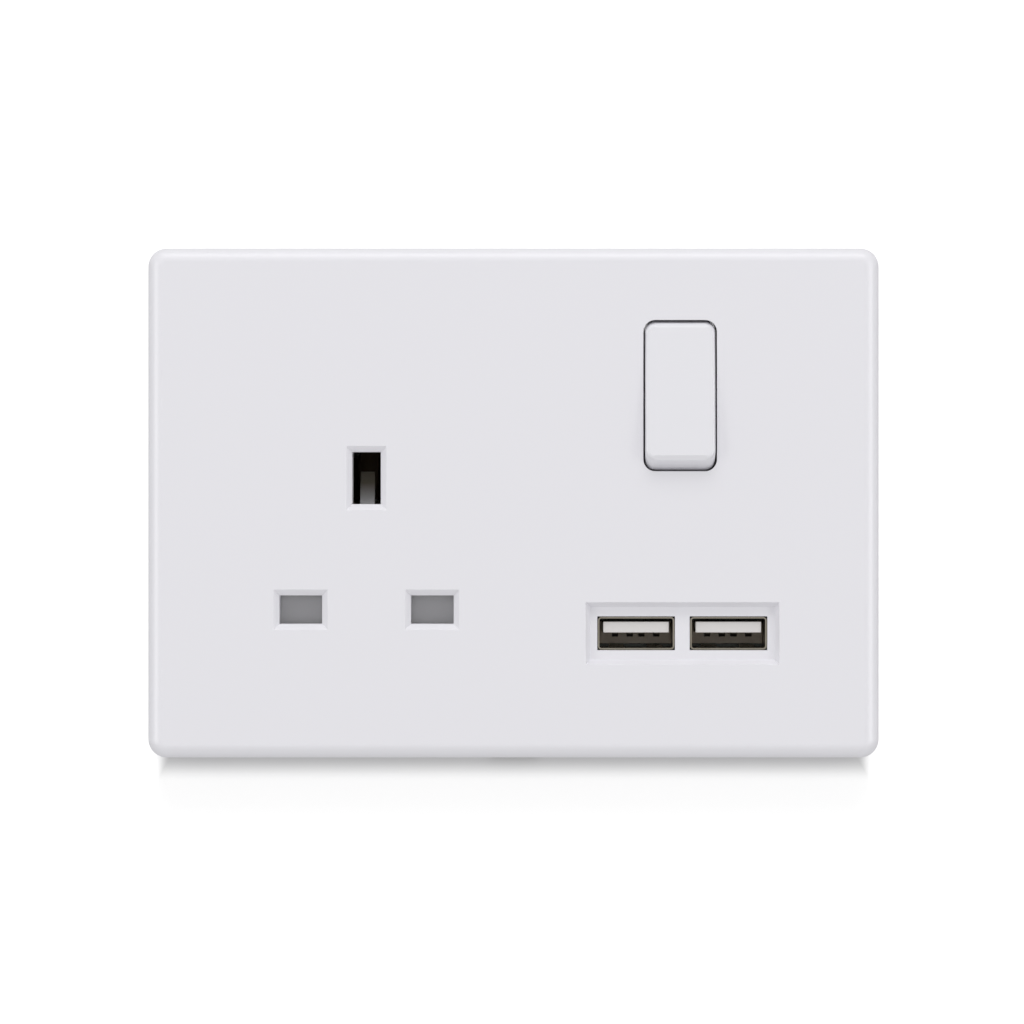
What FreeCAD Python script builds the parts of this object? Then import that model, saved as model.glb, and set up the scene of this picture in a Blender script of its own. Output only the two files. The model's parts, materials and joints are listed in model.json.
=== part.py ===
import FreeCAD, Part
import math
import os
import re
import Sketcher

# Wall socket with one three-pin outlet, a rocker switch and two USB ports.
# Millimetres. X to the right, Z up, Y into the wall. The wall's surface is y = 0 and the
# origin lies in the middle of the plate's back. The front faces -Y.

SIZES = {
    # front plate
    "plate_width": 123.4,
    "plate_height": 86.0,
    "plate_depth": 8.0,
    "plate_wall": 2.2,
    "plate_corner": 3.1,
    "plate_round": 2.4,
    "post_inset": 7.5,
    "post_width": 6.0,
    "post_thickness": 2.0,
    "clip_length": 10.0,
    "clip_bite": 0.9,
    "clip_height": 0.8,
    "clip_spread": 34.0,
    "pry_width": 8.0,
    "pry_height": 1.2,
    # three-pin outlet
    "socket_x": -24.8,
    "socket_z": -6.9,
    "pin_pitch": 22.2,
    "live_slot_width": 7.2,
    "live_slot_height": 4.8,
    "earth_slot_width": 4.8,
    "earth_slot_height": 8.8,
    "slot_bevel": 1.0,
    "shroud_wall": 1.2,
    # rocker and its opening
    "switch_x": 28.1,
    "switch_z": 18.1,
    "key_slot_width": 12.4,
    "key_slot_height": 25.5,
    "key_slot_corner": 2.0,
    "key_gap": 0.3,
    "key_land": 1.0,
    "key_pivot_depth": 5.5,
    "key_proud": 1.3,
    "key_tilt": 12.0,
    "key_wall": 1.4,
    "key_skirt": 1.0,
    "key_round": 0.5,
    "trunnion_radius": 1.4,
    "trunnion_length": 1.7,
    "bearing_gap": 0.05,
    "cheek_thickness": 1.6,
    "cheek_half_height": 3.6,
    "cheek_height": 5.1,
    "cheek_mouth": 2.3,
    # plunger under the rocker
    "peg_radius": 2.6,
    "peg_length": 6.0,
    "plunger_radius": 1.55,
    "plunger_gap": 0.1,
    "plunger_reach": 11.0,
    "plunger_length": 9.0,
    "plunger_travel": 0.4,
    "plunger_tip": 0.2,
    "plunger_bore_depth": 4.0,
    "tip_gap": 0.06,
    # switch contacts
    "seesaw_width": 5.0,
    "seesaw_half_length": 7.5,
    "seesaw_thickness": 0.8,
    "seesaw_tilt": 14.0,
    "button_radius": 1.5,
    "button_height": 0.8,
    "button_offset": 5.6,
    "edge_thickness": 1.2,
    "edge_radius": 0.35,
    "stop_width": 1.6,
    "switch_room": 4.0,
    # USB ports
    "usb_x": 28.5,
    "usb_z": -22.0,
    "port_pitch": 15.6,
    "recess_width": 31.1,
    "recess_height": 8.9,
    "recess_depth": 1.5,
    "recess_slope": 0.8,
    "recess_backing": 1.4,
    "shell_width": 12.9,
    "shell_height": 5.5,
    "shell_sheet": 0.25,
    "shell_corner": 0.6,
    "window_gap": 0.1,
    "tongue_width": 11.1,
    "tongue_thickness": 1.84,
    "tongue_drop": 0.55,
    "tongue_setback": 0.7,
    "insulator_length": 3.0,
    "blade_width": 1.0,
    "blade_thickness": 0.35,
    "blade_sunk": 0.15,
    "blade_inner": 1.0,
    "blade_outer": 3.5,
    "blade_tail": 2.2,
    "leaf_width": 2.6,
    "leaf_length": 5.0,
    "leaf_dip": 0.55,
    # mounting frame
    "frame_thickness": 2.0,
    "fit_gap": 0.3,
    "fixing_pitch": 83.5,
    "fixing_slot_width": 3.8,
    "fixing_slot_length": 7.0,
    "fixing_clear": 5.2,
    "boss_width": 5.4,
    "boss_height": 2.2,
    "boss_cap": 0.6,
    # mechanism behind the frame
    "cover_thickness": 2.0,
    "base_depth": 18.0,
    "base_floor": 2.0,
    "base_wall": 1.6,
    "base_height": 59.0,
    "base_left_reach": 23.0,
    "base_corner": 2.0,
    # shutter
    "shutter_thickness": 1.6,
    "shutter_cover": 1.3,
    "shutter_travel": 6.0,
    "shutter_gap": 0.2,
    "stem_width": 5.0,
    "wedge_width": 2.5,
    "wedge_depth": 3.0,
    "wedge_rise": 5.6,
    "guide_wall": 1.2,
    # springs
    "spring_radius": 1.4,
    "spring_wire": 0.4,
    "spring_turns": 6.0,
    "spring_seat": 1.2,
    "plunger_spring_radius": 1.05,
    "plunger_spring_turns": 5.0,
    # brass strips
    "strip_thickness": 0.7,
    "strap_width": 3.6,
    "clip_width": 6.4,
    "clip_mouth": 3.3,
    "clip_grip": 1.7,
    "clip_waist": 2.7,
    "clip_front": 1.4,
    "earth_clip_width": 7.0,
    "chamber_gap": 0.9,
    # terminals
    "terminal_width": 8.0,
    "terminal_depth": 10.4,
    "terminal_inset": 7.0,
    "wire_radius": 2.4,
    "wire_depth": 6.6,
    "entry_radius": 2.9,
    "terminal_screw_radius": 2.0,
    "terminal_head_radius": 3.0,
    "terminal_head_height": 1.8,
    "terminal_screw_length": 4.2,
    "terminal_spacing": 10.4,
    "line_terminal_x": 10.2,
    # screws that hold the mechanism together
    "screw_radius": 1.2,
    "screw_head_radius": 2.2,
    "screw_head_height": 1.8,
    "screw_inset": 2.9,
    "counterbore_depth": 9.0,
    # USB supply
    "port_margin": 1.6,
    "case_height": 23.0,
    "case_rise": 4.0,
    "case_screw_inset": 2.2,
    "case_depth": 21.0,
    "case_wall": 1.5,
    "lid_thickness": 1.5,
    "lid_lip": 1.2,
    "vent_pitch": 4.4,
    "vent_width": 1.6,
    "board_front": 6.5,
    "board_thickness": 1.6,
    "core_width": 13.0,
    "core_height": 11.0,
    "core_depth": 10.5,
    "input_cap_radius": 3.9,
    "input_cap_length": 11.5,
    "output_cap_radius": 3.1,
    "output_cap_length": 8.0,
    "rectifier_height": 2.0,
    "resistor_radius": 1.5,
    "resistor_length": 8.0,
    "part_row_drop": 7.2,
    "lead_radius": 0.8,
    "lead_pitch": 2.2,
    "lead_bend": 3.0,
    "lead_inset": 4.0,
}

# Places that follow from the sizes, each a formula of sizes and of places above it.
PLACES = {
    "face_y": "-plate_depth",
    "plate_inside_y": "face_y + plate_wall",
    "frame_front_y": "-frame_thickness",
    "cover_back_y": "cover_thickness",
    "base_back_y": "cover_back_y + base_depth",
    "floor_y": "base_back_y - base_floor",
    "strip_y": "floor_y - strip_thickness",
    "live_z": "socket_z - pin_pitch / 2",
    "earth_z": "socket_z + pin_pitch / 2",
    "neutral_x": "socket_x - pin_pitch / 2",
    "line_x": "socket_x + pin_pitch / 2",
    "shutter_back_y": "-shutter_gap",
    "shutter_front_y": "shutter_back_y - shutter_thickness",
    "shroud_end_y": "shutter_front_y - fit_gap",
    "blade_half": "pin_pitch / 2 + live_slot_width / 2 + shutter_cover",
    "blade_top_z": "live_z + live_slot_height / 2 + shutter_cover",
    "blade_bottom_z": "live_z - live_slot_height / 2 - shutter_cover",
    "earth_low_z": "earth_z - earth_slot_height / 2",
    "spring_low_z": "blade_bottom_z - shutter_travel + fit_gap",
    "spring_high_z": "blade_top_z - spring_seat - spring_wire",
    "lug_low_z": "spring_low_z - spring_seat",
    "key_pivot_y": "face_y + key_pivot_depth",
    "key_half": "key_slot_height / 2 - key_gap",
    "key_radius": "sqrt(key_half ^ 2 + (key_pivot_depth - key_land) ^ 2)",
    "key_front": "-key_pivot_depth - key_proud",
    "key_width": "key_slot_width - 2 * key_gap",
    "seesaw_y": "key_pivot_y + plunger_reach + tip_gap + seesaw_thickness",
    "button_y": "seesaw_y + button_offset * sin(seesaw_tilt / 2) + button_height + "
    "button_radius * sin(seesaw_tilt / 2) + tip_gap",
    "fixed_button_z": "switch_z + button_offset",
    "case_width": "port_pitch + shell_width + fit_gap + 2 * (port_margin + case_wall)",
    "case_z": "usb_z + case_rise",
    "case_left_x": "usb_x - case_width / 2",
    "case_right_x": "usb_x + case_width / 2",
    "case_top_z": "case_z + case_height / 2",
    "case_low_z": "case_z - case_height / 2",
    "base_left_x": "socket_x - base_left_reach",
    "base_top_z": "base_height / 2",
    "base_low_z": "-base_height / 2",
    "shell_mouth_y": "face_y + recess_depth",
    "tongue_z": "usb_z + shell_height / 2 - shell_sheet - tongue_drop - tongue_thickness / 2",
    "blade_z": "tongue_z - tongue_thickness / 2 - blade_thickness / 2 + blade_sunk",
    "case_post_radius": "case_screw_inset - fit_gap / 3",
    "board_back_y": "board_front + board_thickness",
    "terminal_z": "base_top_z - terminal_inset",
    "neutral_terminal_x": "socket_x - terminal_spacing",
    "screw_left_x": "base_left_x + screw_inset",
    "screw_right_x": "case_right_x - screw_inset",
    "screw_mid_x": "case_left_x - fit_gap - screw_inset",
    "screw_top_z": "base_top_z - screw_inset",
    "screw_low_z": "base_low_z + screw_inset",
    "notch_x": "fixing_pitch / 2 - fixing_clear",
    "neutral_strap_x": "-notch_x + base_wall + chamber_gap / 2 + strap_width / 2",
    "line_strap_x": "line_x + clip_width / 2 + strap_width / 2 - bearing_gap",
    "wire_depth_y": "strip_y - wire_depth",
    "switch_low_z": "switch_z - seesaw_half_length - switch_room",
    "load_strap_z": "switch_low_z + strap_width / 2 + fit_gap",
    "load_right_x": "switch_x + seesaw_width / 2 + switch_room / 2 + strap_width",
    "lead_high_z": "case_top_z - case_wall - lead_radius - fit_gap",
    "lead_low_z": "lead_high_z - lead_pitch",
    "lead_depth": "strip_y - lead_radius - bearing_gap",
    "lead_start_x": "case_left_x + lead_inset",
    "part_row_z": "case_z - part_row_drop",
    "can_low_z": "blade_z + blade_thickness / 2 + fit_gap",
    "input_cap_x": "case_right_x - case_wall - fit_gap - input_cap_radius",
    "output_cap_x": "lead_start_x + lead_radius + fit_gap + output_cap_radius",
    "core_x": "(input_cap_x - input_cap_radius + output_cap_x + output_cap_radius) / 2",
    "core_z": "case_top_z - case_wall - 2 * fit_gap - core_height / 2",
}

doc = FreeCAD.newDocument("WallSocket")
nodes = []


def bound(formula):
    """Turn a formula of named sizes and places into an expression on the two sheets."""

    def sheet_of(word):
        name = word.group(0)
        if name in SIZES:
            return "Sizes." + name
        return "Places." + name if name in PLACES else name

    return re.sub(r"[a-z][a-z0-9_]*", sheet_of, str(formula))


def fill_sheet(name, cells):
    sheet = doc.addObject("Spreadsheet::Sheet", name)
    for row, (alias, content) in enumerate(cells.items(), start=1):
        sheet.set(f"A{row}", alias)
        sheet.set(f"B{row}", content)
        sheet.setAlias(f"B{row}", alias)
    return sheet


sizes = fill_sheet("Sizes", {alias: str(value) for alias, value in SIZES.items()})
doc.recompute()
places = fill_sheet("Places", {})
for place_row, (place, place_formula) in enumerate(PLACES.items(), start=1):
    places.set(f"A{place_row}", place)
    in_degrees = re.sub(r"sin\(([^)]*)\)", r"sin(\1 * 1deg)", place_formula)
    places.set(f"B{place_row}", "=" + bound(in_degrees).replace("Places.", ""))
    places.setAlias(f"B{place_row}", place)
    doc.recompute()


def value(formula):
    """The number that a formula has now."""
    number = places.evalExpression(bound(formula))
    return getattr(number, "Value", number)


def rect(x, z, width, height, corner=None):
    """A rectangle by its middle, width and height, with round corners where a radius is given."""
    return ("rect", x, z, width, height, corner)


def span(x_low, x_high, z_low, z_high):
    """A rectangle by its edges."""
    return rect(
        f"(({x_low}) + ({x_high})) / 2",
        f"(({z_low}) + ({z_high})) / 2",
        f"({x_high}) - ({x_low})",
        f"({z_high}) - ({z_low})",
    )


def circle(x, z, radius):
    return ("circle", x, z, radius)


def outline(*points):
    """A closed outline of straight edges through (x, z) corners."""
    return ("outline", points)


def twelve_sided(x, z, reach):
    """A small round drawn with twelve sides, by the distance from its middle to a corner."""
    turns = [30 * step + 15 for step in range(12)]
    return outline(
        *[(f"({x}) + ({reach}) * cos({turn}deg)", f"({z}) + ({reach}) * sin({turn}deg)")
          for turn in turns]
    )


def screw_hole(x, z, radius):
    """A twelve-sided hole whose sides, not its corners, clear a round of this radius."""
    return twelve_sided(x, z, f"({radius}) / cos(15deg)")


def pin_to(sketch, geometry, point, axis, formula):
    """Hold a point of the sketch at a distance from the sketch's origin, as a formula."""
    index = sketch.addConstraint(
        Sketcher.Constraint("Distance" + axis, -1, 1, geometry, point, value(formula))
    )
    sketch.setExpression(f"Constraints[{index}]", bound(formula))


def draw_corners(sketch, points):
    corners = [FreeCAD.Vector(value(x), value(z), 0) for x, z in points]
    first = sketch.GeometryCount
    for start, end in zip(corners, corners[1:] + corners[:1]):
        sketch.addGeometry(Part.LineSegment(start, end), False)
    count = len(corners)
    for step in range(count):
        sketch.addConstraint(
            Sketcher.Constraint("Coincident", first + step, 2, first + (step + 1) % count, 1)
        )
    for step, (x, z) in enumerate(points):
        pin_to(sketch, first + step, 1, "X", x)
        pin_to(sketch, first + step, 1, "Y", z)


def draw_circle(sketch, x, z, radius):
    index = sketch.addGeometry(
        Part.Circle(FreeCAD.Vector(value(x), value(z), 0), FreeCAD.Vector(0, 0, 1), value(radius)),
        False,
    )
    pin_to(sketch, index, 3, "X", x)
    pin_to(sketch, index, 3, "Y", z)
    held = sketch.addConstraint(Sketcher.Constraint("Radius", index, value(radius)))
    sketch.setExpression(f"Constraints[{held}]", bound(radius))


def draw_round_rect(sketch, x, z, width, height, corner):
    half_x, half_z, radius = value(width) / 2, value(height) / 2, value(corner)
    middle = FreeCAD.Vector(value(x), value(z), 0)
    first = sketch.GeometryCount
    turns = ((1, -1, -90), (1, 1, 0), (-1, 1, 90), (-1, -1, 180))
    centres = [
        middle + FreeCAD.Vector(side_x * (half_x - radius), side_z * (half_z - radius), 0)
        for side_x, side_z, start in turns
    ]
    for centre, (side_x, side_z, start) in zip(centres, turns):
        round_edge = Part.Circle(centre, FreeCAD.Vector(0, 0, 1), radius)
        sketch.addGeometry(
            Part.ArcOfCircle(round_edge, math.radians(start), math.radians(start + 90)), False
        )
    for step in range(4):
        arc, following = first + step, first + (step + 1) % 4
        line = sketch.addGeometry(
            Part.LineSegment(
                sketch.getPoint(arc, 2),
                sketch.getPoint(following, 1),
            ),
            False,
        )
        sketch.addConstraint(Sketcher.Constraint("Tangent", arc, 2, line, 1))
        sketch.addConstraint(Sketcher.Constraint("Tangent", line, 2, following, 1))
        sketch.addConstraint(
            Sketcher.Constraint("Vertical" if step % 2 == 0 else "Horizontal", line)
        )
    for step in range(1, 4):
        sketch.addConstraint(Sketcher.Constraint("Equal", first, first + step))
    held = sketch.addConstraint(Sketcher.Constraint("Radius", first, radius))
    sketch.setExpression(f"Constraints[{held}]", bound(corner))
    pin_to(sketch, first, 3, "X", f"({x}) + ({width}) / 2 - ({corner})")
    pin_to(sketch, first, 3, "Y", f"({z}) - ({height}) / 2 + ({corner})")
    pin_to(sketch, first + 2, 3, "X", f"({x}) - ({width}) / 2 + ({corner})")
    pin_to(sketch, first + 2, 3, "Y", f"({z}) + ({height}) / 2 - ({corner})")


def draw(sketch, loop):
    if loop[0] == "rect" and loop[5] is None:
        x, z, width, height = loop[1:5]
        low_x, high_x = f"({x}) - ({width}) / 2", f"({x}) + ({width}) / 2"
        low_z, high_z = f"({z}) - ({height}) / 2", f"({z}) + ({height}) / 2"
        draw_corners(
            sketch, [(low_x, low_z), (high_x, low_z), (high_x, high_z), (low_x, high_z)]
        )
    elif loop[0] == "rect":
        draw_round_rect(sketch, *loop[1:])
    elif loop[0] == "circle":
        draw_circle(sketch, *loop[1:])
    else:
        draw_corners(sketch, loop[1])


def new_body(name):
    body = doc.addObject("PartDesign::Body", name)
    body.Label = name
    return body


def add_node(name):
    """A body that is a sub-part of its own."""
    body = new_body(name)
    nodes.append(body)
    return body


def origin_part(body, role):
    """One of the body's own origin planes or axes."""
    return [part for part in body.Origin.OriginFeatures if part.Role == role][0]


def sketch_on(body, name, plane, level, loops):
    sketch = body.newObject("Sketcher::SketchObject", name + "_sketch")
    sketch.AttachmentSupport = [(origin_part(body, plane), "")]
    sketch.MapMode = "FlatFace"
    sketch.setExpression("AttachmentOffset.Base.z", bound(level))
    doc.recompute()
    for loop in loops:
        draw(sketch, loop)
    return sketch


def extrude(body, name, low, high, *loops, cut=False, plane="XZ_Plane"):
    """Add or cut what the loops enclose, from low to high along the plane's own row axis."""
    facing_back = plane == "XZ_Plane"
    level = f"-({low})" if facing_back else low
    sketch = sketch_on(body, name, plane, level, loops)
    before = body.Shape.Volume if not body.Shape.isNull() else 0.0
    feature = body.newObject("PartDesign::Pocket" if cut else "PartDesign::Pad", name)
    feature.Profile = sketch
    feature.Reversed = facing_back != cut
    feature.setExpression("Length", bound(f"({high}) - ({low})"))
    doc.recompute()
    changed = body.Shape.Volume - before
    if changed >= 0 if cut else changed <= 0:
        raise RuntimeError(f"{body.Label}: {name} changed the volume by {changed:.4f} mm3")
    return feature


def dress(body, name, kind, size, wanted):
    """Round or bevel the edges of the body that the test picks."""
    tip = body.Tip
    picked = [f"Edge{i}" for i, edge in enumerate(tip.Shape.Edges, start=1) if wanted(edge)]
    if not picked:
        raise RuntimeError(f"{body.Label}: {name} found no edge")
    feature = body.newObject(kind, name)
    feature.Base = (tip, picked)
    feature.setExpression("Radius" if kind.endswith("Fillet") else "Size", bound(size))
    doc.recompute()
    return feature


def lies_at(edge, axis, formula):
    """Whether an edge lies wholly at one coordinate."""
    level = value(formula)
    box = edge.BoundBox
    low, high = (box.YMin, box.YMax) if axis == "y" else (box.XMin, box.XMax)
    return abs(low - level) < 1e-4 and abs(high - level) < 1e-4


def within(edge, x, z, width, height):
    """Whether an edge's middle lies in a rectangle of the XZ plane."""
    middle = edge.CenterOfMass
    margin = 0.01
    return (
        abs(middle.x - value(x)) <= value(width) / 2 + margin
        and abs(middle.z - value(z)) <= value(height) / 2 + margin
    )


def place(body, x=0, y=0, z=0):
    for axis, formula in (("x", x), ("y", y), ("z", z)):
        body.setExpression(f"Placement.Base.{axis}", bound(formula))


def live_slots(width, height):
    return [rect(x, "live_z", width, height) for x in ("neutral_x", "line_x")]


def earth_slot(width, height):
    return rect("socket_x", "earth_z", width, height)


def mechanism_outline(body, low, high):
    """The L-shaped outline that the rear moulding and its cover share, with screw notches."""
    extrude(
        body,
        "outline",
        low,
        high,
        rect(
            "(base_left_x + case_right_x) / 2",
            0,
            "case_right_x - base_left_x",
            "base_height",
            "base_corner",
        ),
    )
    beyond = "plate_width / 2"
    extrude(
        body,
        "usb_bay",
        low,
        high,
        span("case_left_x - fit_gap", beyond, f"-{beyond}", "case_top_z + fit_gap"),
        cut=True,
    )
    extrude(
        body,
        "fixing_notches",
        low,
        high,
        span(f"-{beyond}", "-notch_x", "-fixing_clear", "fixing_clear"),
        span("notch_x", beyond, "-fixing_clear", "fixing_clear"),
        cut=True,
    )


def assembly_points():
    return [
        ("screw_left_x", "screw_top_z"),
        ("screw_left_x", "screw_low_z"),
        ("screw_mid_x", "screw_low_z"),
        ("screw_right_x", "screw_top_z"),
    ]


def case_points():
    return [
        ("case_right_x - case_screw_inset", "case_top_z - case_screw_inset"),
        ("case_left_x + case_screw_inset", "case_low_z + case_screw_inset"),
    ]


def make_front_plate():
    plate = add_node("front_plate")
    extrude(
        plate, "block", "face_y", 0, rect(0, 0, "plate_width", "plate_height", "plate_corner")
    )
    dress(
        plate,
        "soft_edge",
        "PartDesign::Fillet",
        "min(plate_round; plate_depth / 2; plate_corner - 0.1)",
        lambda edge: lies_at(edge, "y", "face_y"),
    )
    extrude(
        plate,
        "hollow",
        "plate_inside_y",
        0,
        rect(
            0,
            0,
            "plate_width - 2 * plate_wall",
            "plate_height - 2 * plate_wall",
            "max(plate_corner - plate_wall; 0.3)",
        ),
        cut=True,
    )
    extrude(
        plate,
        "shrouds",
        "plate_inside_y",
        "shroud_end_y",
        *live_slots("live_slot_width + 2 * shroud_wall", "live_slot_height + 2 * shroud_wall"),
        earth_slot("earth_slot_width + 2 * shroud_wall", "earth_slot_height + 2 * shroud_wall"),
    )
    extrude(
        plate,
        "pin_slots",
        "face_y",
        "shroud_end_y",
        *live_slots("live_slot_width", "live_slot_height"),
        earth_slot("earth_slot_width", "earth_slot_height"),
        cut=True,
    )
    dress(
        plate,
        "slot_bevels",
        "PartDesign::Chamfer",
        "slot_bevel",
        lambda edge: lies_at(edge, "y", "face_y")
        and within(
            edge,
            "socket_x",
            "socket_z",
            "pin_pitch + live_slot_width",
            "pin_pitch + earth_slot_height",
        ),
    )
    extrude(
        plate,
        "usb_backing",
        "plate_inside_y",
        "plate_inside_y + recess_backing",
        rect(
            "usb_x",
            "usb_z",
            "recess_width + 2 * recess_slope",
            "recess_height + 2 * recess_slope",
        ),
    )
    recess = extrude(
        plate,
        "usb_recess",
        "face_y",
        "face_y + recess_depth",
        rect(
            "usb_x",
            "usb_z",
            "recess_width + 2 * recess_slope",
            "recess_height + 2 * recess_slope",
        ),
        cut=True,
    )
    recess.setExpression("TaperAngle", bound("-atan(recess_slope / recess_depth)"))
    doc.recompute()
    extrude(
        plate,
        "usb_windows",
        "face_y",
        "plate_inside_y + recess_backing",
        *[
            rect(
                x,
                "usb_z",
                "shell_width + 2 * window_gap",
                "shell_height + 2 * window_gap",
            )
            for x in ("usb_x - port_pitch / 2", "usb_x + port_pitch / 2")
        ],
        cut=True,
    )
    extrude(
        plate,
        "key_slot",
        "face_y",
        "plate_inside_y",
        rect(
            "switch_x", "switch_z", "key_slot_width", "key_slot_height", "key_slot_corner"
        ),
        cut=True,
    )
    extrude(
        plate,
        "key_relief",
        "face_y + key_land",
        "plate_inside_y",
        rect(
            "switch_x",
            "switch_z",
            "key_slot_width + 2 * fit_gap",
            "2 * key_radius + 2 * fit_gap",
            "key_slot_corner",
        ),
        cut=True,
    )
    inset = "post_inset"
    post_x = f"plate_width / 2 - {inset}"
    post_z = f"plate_height / 2 - {inset}"
    extrude(
        plate,
        "posts",
        "plate_inside_y",
        "frame_front_y",
        *[
            rect(x, z, "post_width", "post_thickness")
            for x in (f"-({post_x})", 0, post_x)
            for z in (f"-({post_z})", post_z)
        ],
    )
    for side, sign in (("upper", ""), ("lower", "-")):
        edge_z = "(plate_height / 2 - plate_wall - clip_bite / 2 + bearing_gap)"
        extrude(
            plate,
            f"{side}_clips",
            "-clip_height - fit_gap",
            "-fit_gap",
            *[
                rect(x, f"{sign}{edge_z}", "clip_length", "clip_bite + 2 * bearing_gap")
                for x in ("-clip_spread", "clip_spread")
            ],
        )
    extrude(
        plate,
        "pry_notch",
        "-pry_height",
        0,
        rect(0, "-plate_height / 2 + plate_wall / 2", "pry_width", "plate_wall * 1.5"),
        cut=True,
    )


def make_mounting_frame():
    frame = add_node("mounting_frame")
    extrude(
        frame,
        "sheet",
        "frame_front_y",
        0,
        rect(
            0,
            0,
            "plate_width - 2 * plate_wall - 2 * fit_gap",
            "plate_height - 2 * plate_wall - 2 * fit_gap",
            "plate_corner",
        ),
    )
    extrude(
        frame,
        "bosses",
        "frame_front_y - boss_height",
        "frame_front_y",
        *[
            rect(x, z, "boss_width", "boss_width")
            for x, z in assembly_points() + case_points()
        ],
    )
    extrude(
        frame,
        "pilot_holes",
        "frame_front_y - boss_height + boss_cap",
        0,
        *[
            screw_hole(x, z, "screw_radius + bearing_gap")
            for x, z in assembly_points() + case_points()
        ],
        cut=True,
    )
    half = "blade_half + shutter_gap + guide_wall + shutter_gap"
    extrude(
        frame,
        "shutter_window",
        "frame_front_y",
        0,
        span(
            f"socket_x - ({half})",
            f"socket_x + ({half})",
            "lug_low_z - fit_gap",
            "blade_top_z + fit_gap",
        ),
        cut=True,
    )
    stem_half = "stem_width / 2 + shutter_gap + guide_wall + shutter_gap"
    extrude(
        frame,
        "stem_window",
        "frame_front_y",
        0,
        span(
            f"socket_x - ({stem_half})",
            f"socket_x + ({stem_half})",
            "blade_top_z",
            "earth_z + earth_slot_height / 2 + shroud_wall",
        ),
        cut=True,
    )
    extrude(
        frame,
        "switch_window",
        "frame_front_y",
        0,
        rect(
            "switch_x",
            "switch_z",
            "key_width + 2 * (fit_gap + cheek_thickness + fit_gap)",
            "2 * key_radius + 4 * fit_gap",
            "key_slot_corner",
        ),
        cut=True,
    )
    extrude(
        frame,
        "usb_window",
        "frame_front_y - boss_height",
        0,
        rect(
            "usb_x",
            "usb_z",
            "port_pitch + shell_width + 4 * fit_gap",
            "shell_height + 4 * fit_gap",
        ),
        cut=True,
    )
    extrude(
        frame,
        "fixing_slots",
        "frame_front_y",
        0,
        *[
            rect(
                x,
                0,
                "fixing_slot_length",
                "fixing_slot_width",
                "fixing_slot_width * 0.499",
            )
            for x in ("-fixing_pitch / 2", "fixing_pitch / 2")
        ],
        cut=True,
    )
    edge_z = "(plate_height / 2 - plate_wall - fit_gap)"
    extrude(
        frame,
        "clip_ledges",
        "-clip_height - 2 * fit_gap",
        0,
        *[
            rect(x, f"{sign}{edge_z}", "clip_length + 2 * fit_gap", "2 * clip_bite")
            for x in ("-clip_spread", "clip_spread")
            for sign in ("", "-")
        ],
        cut=True,
    )


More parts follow.
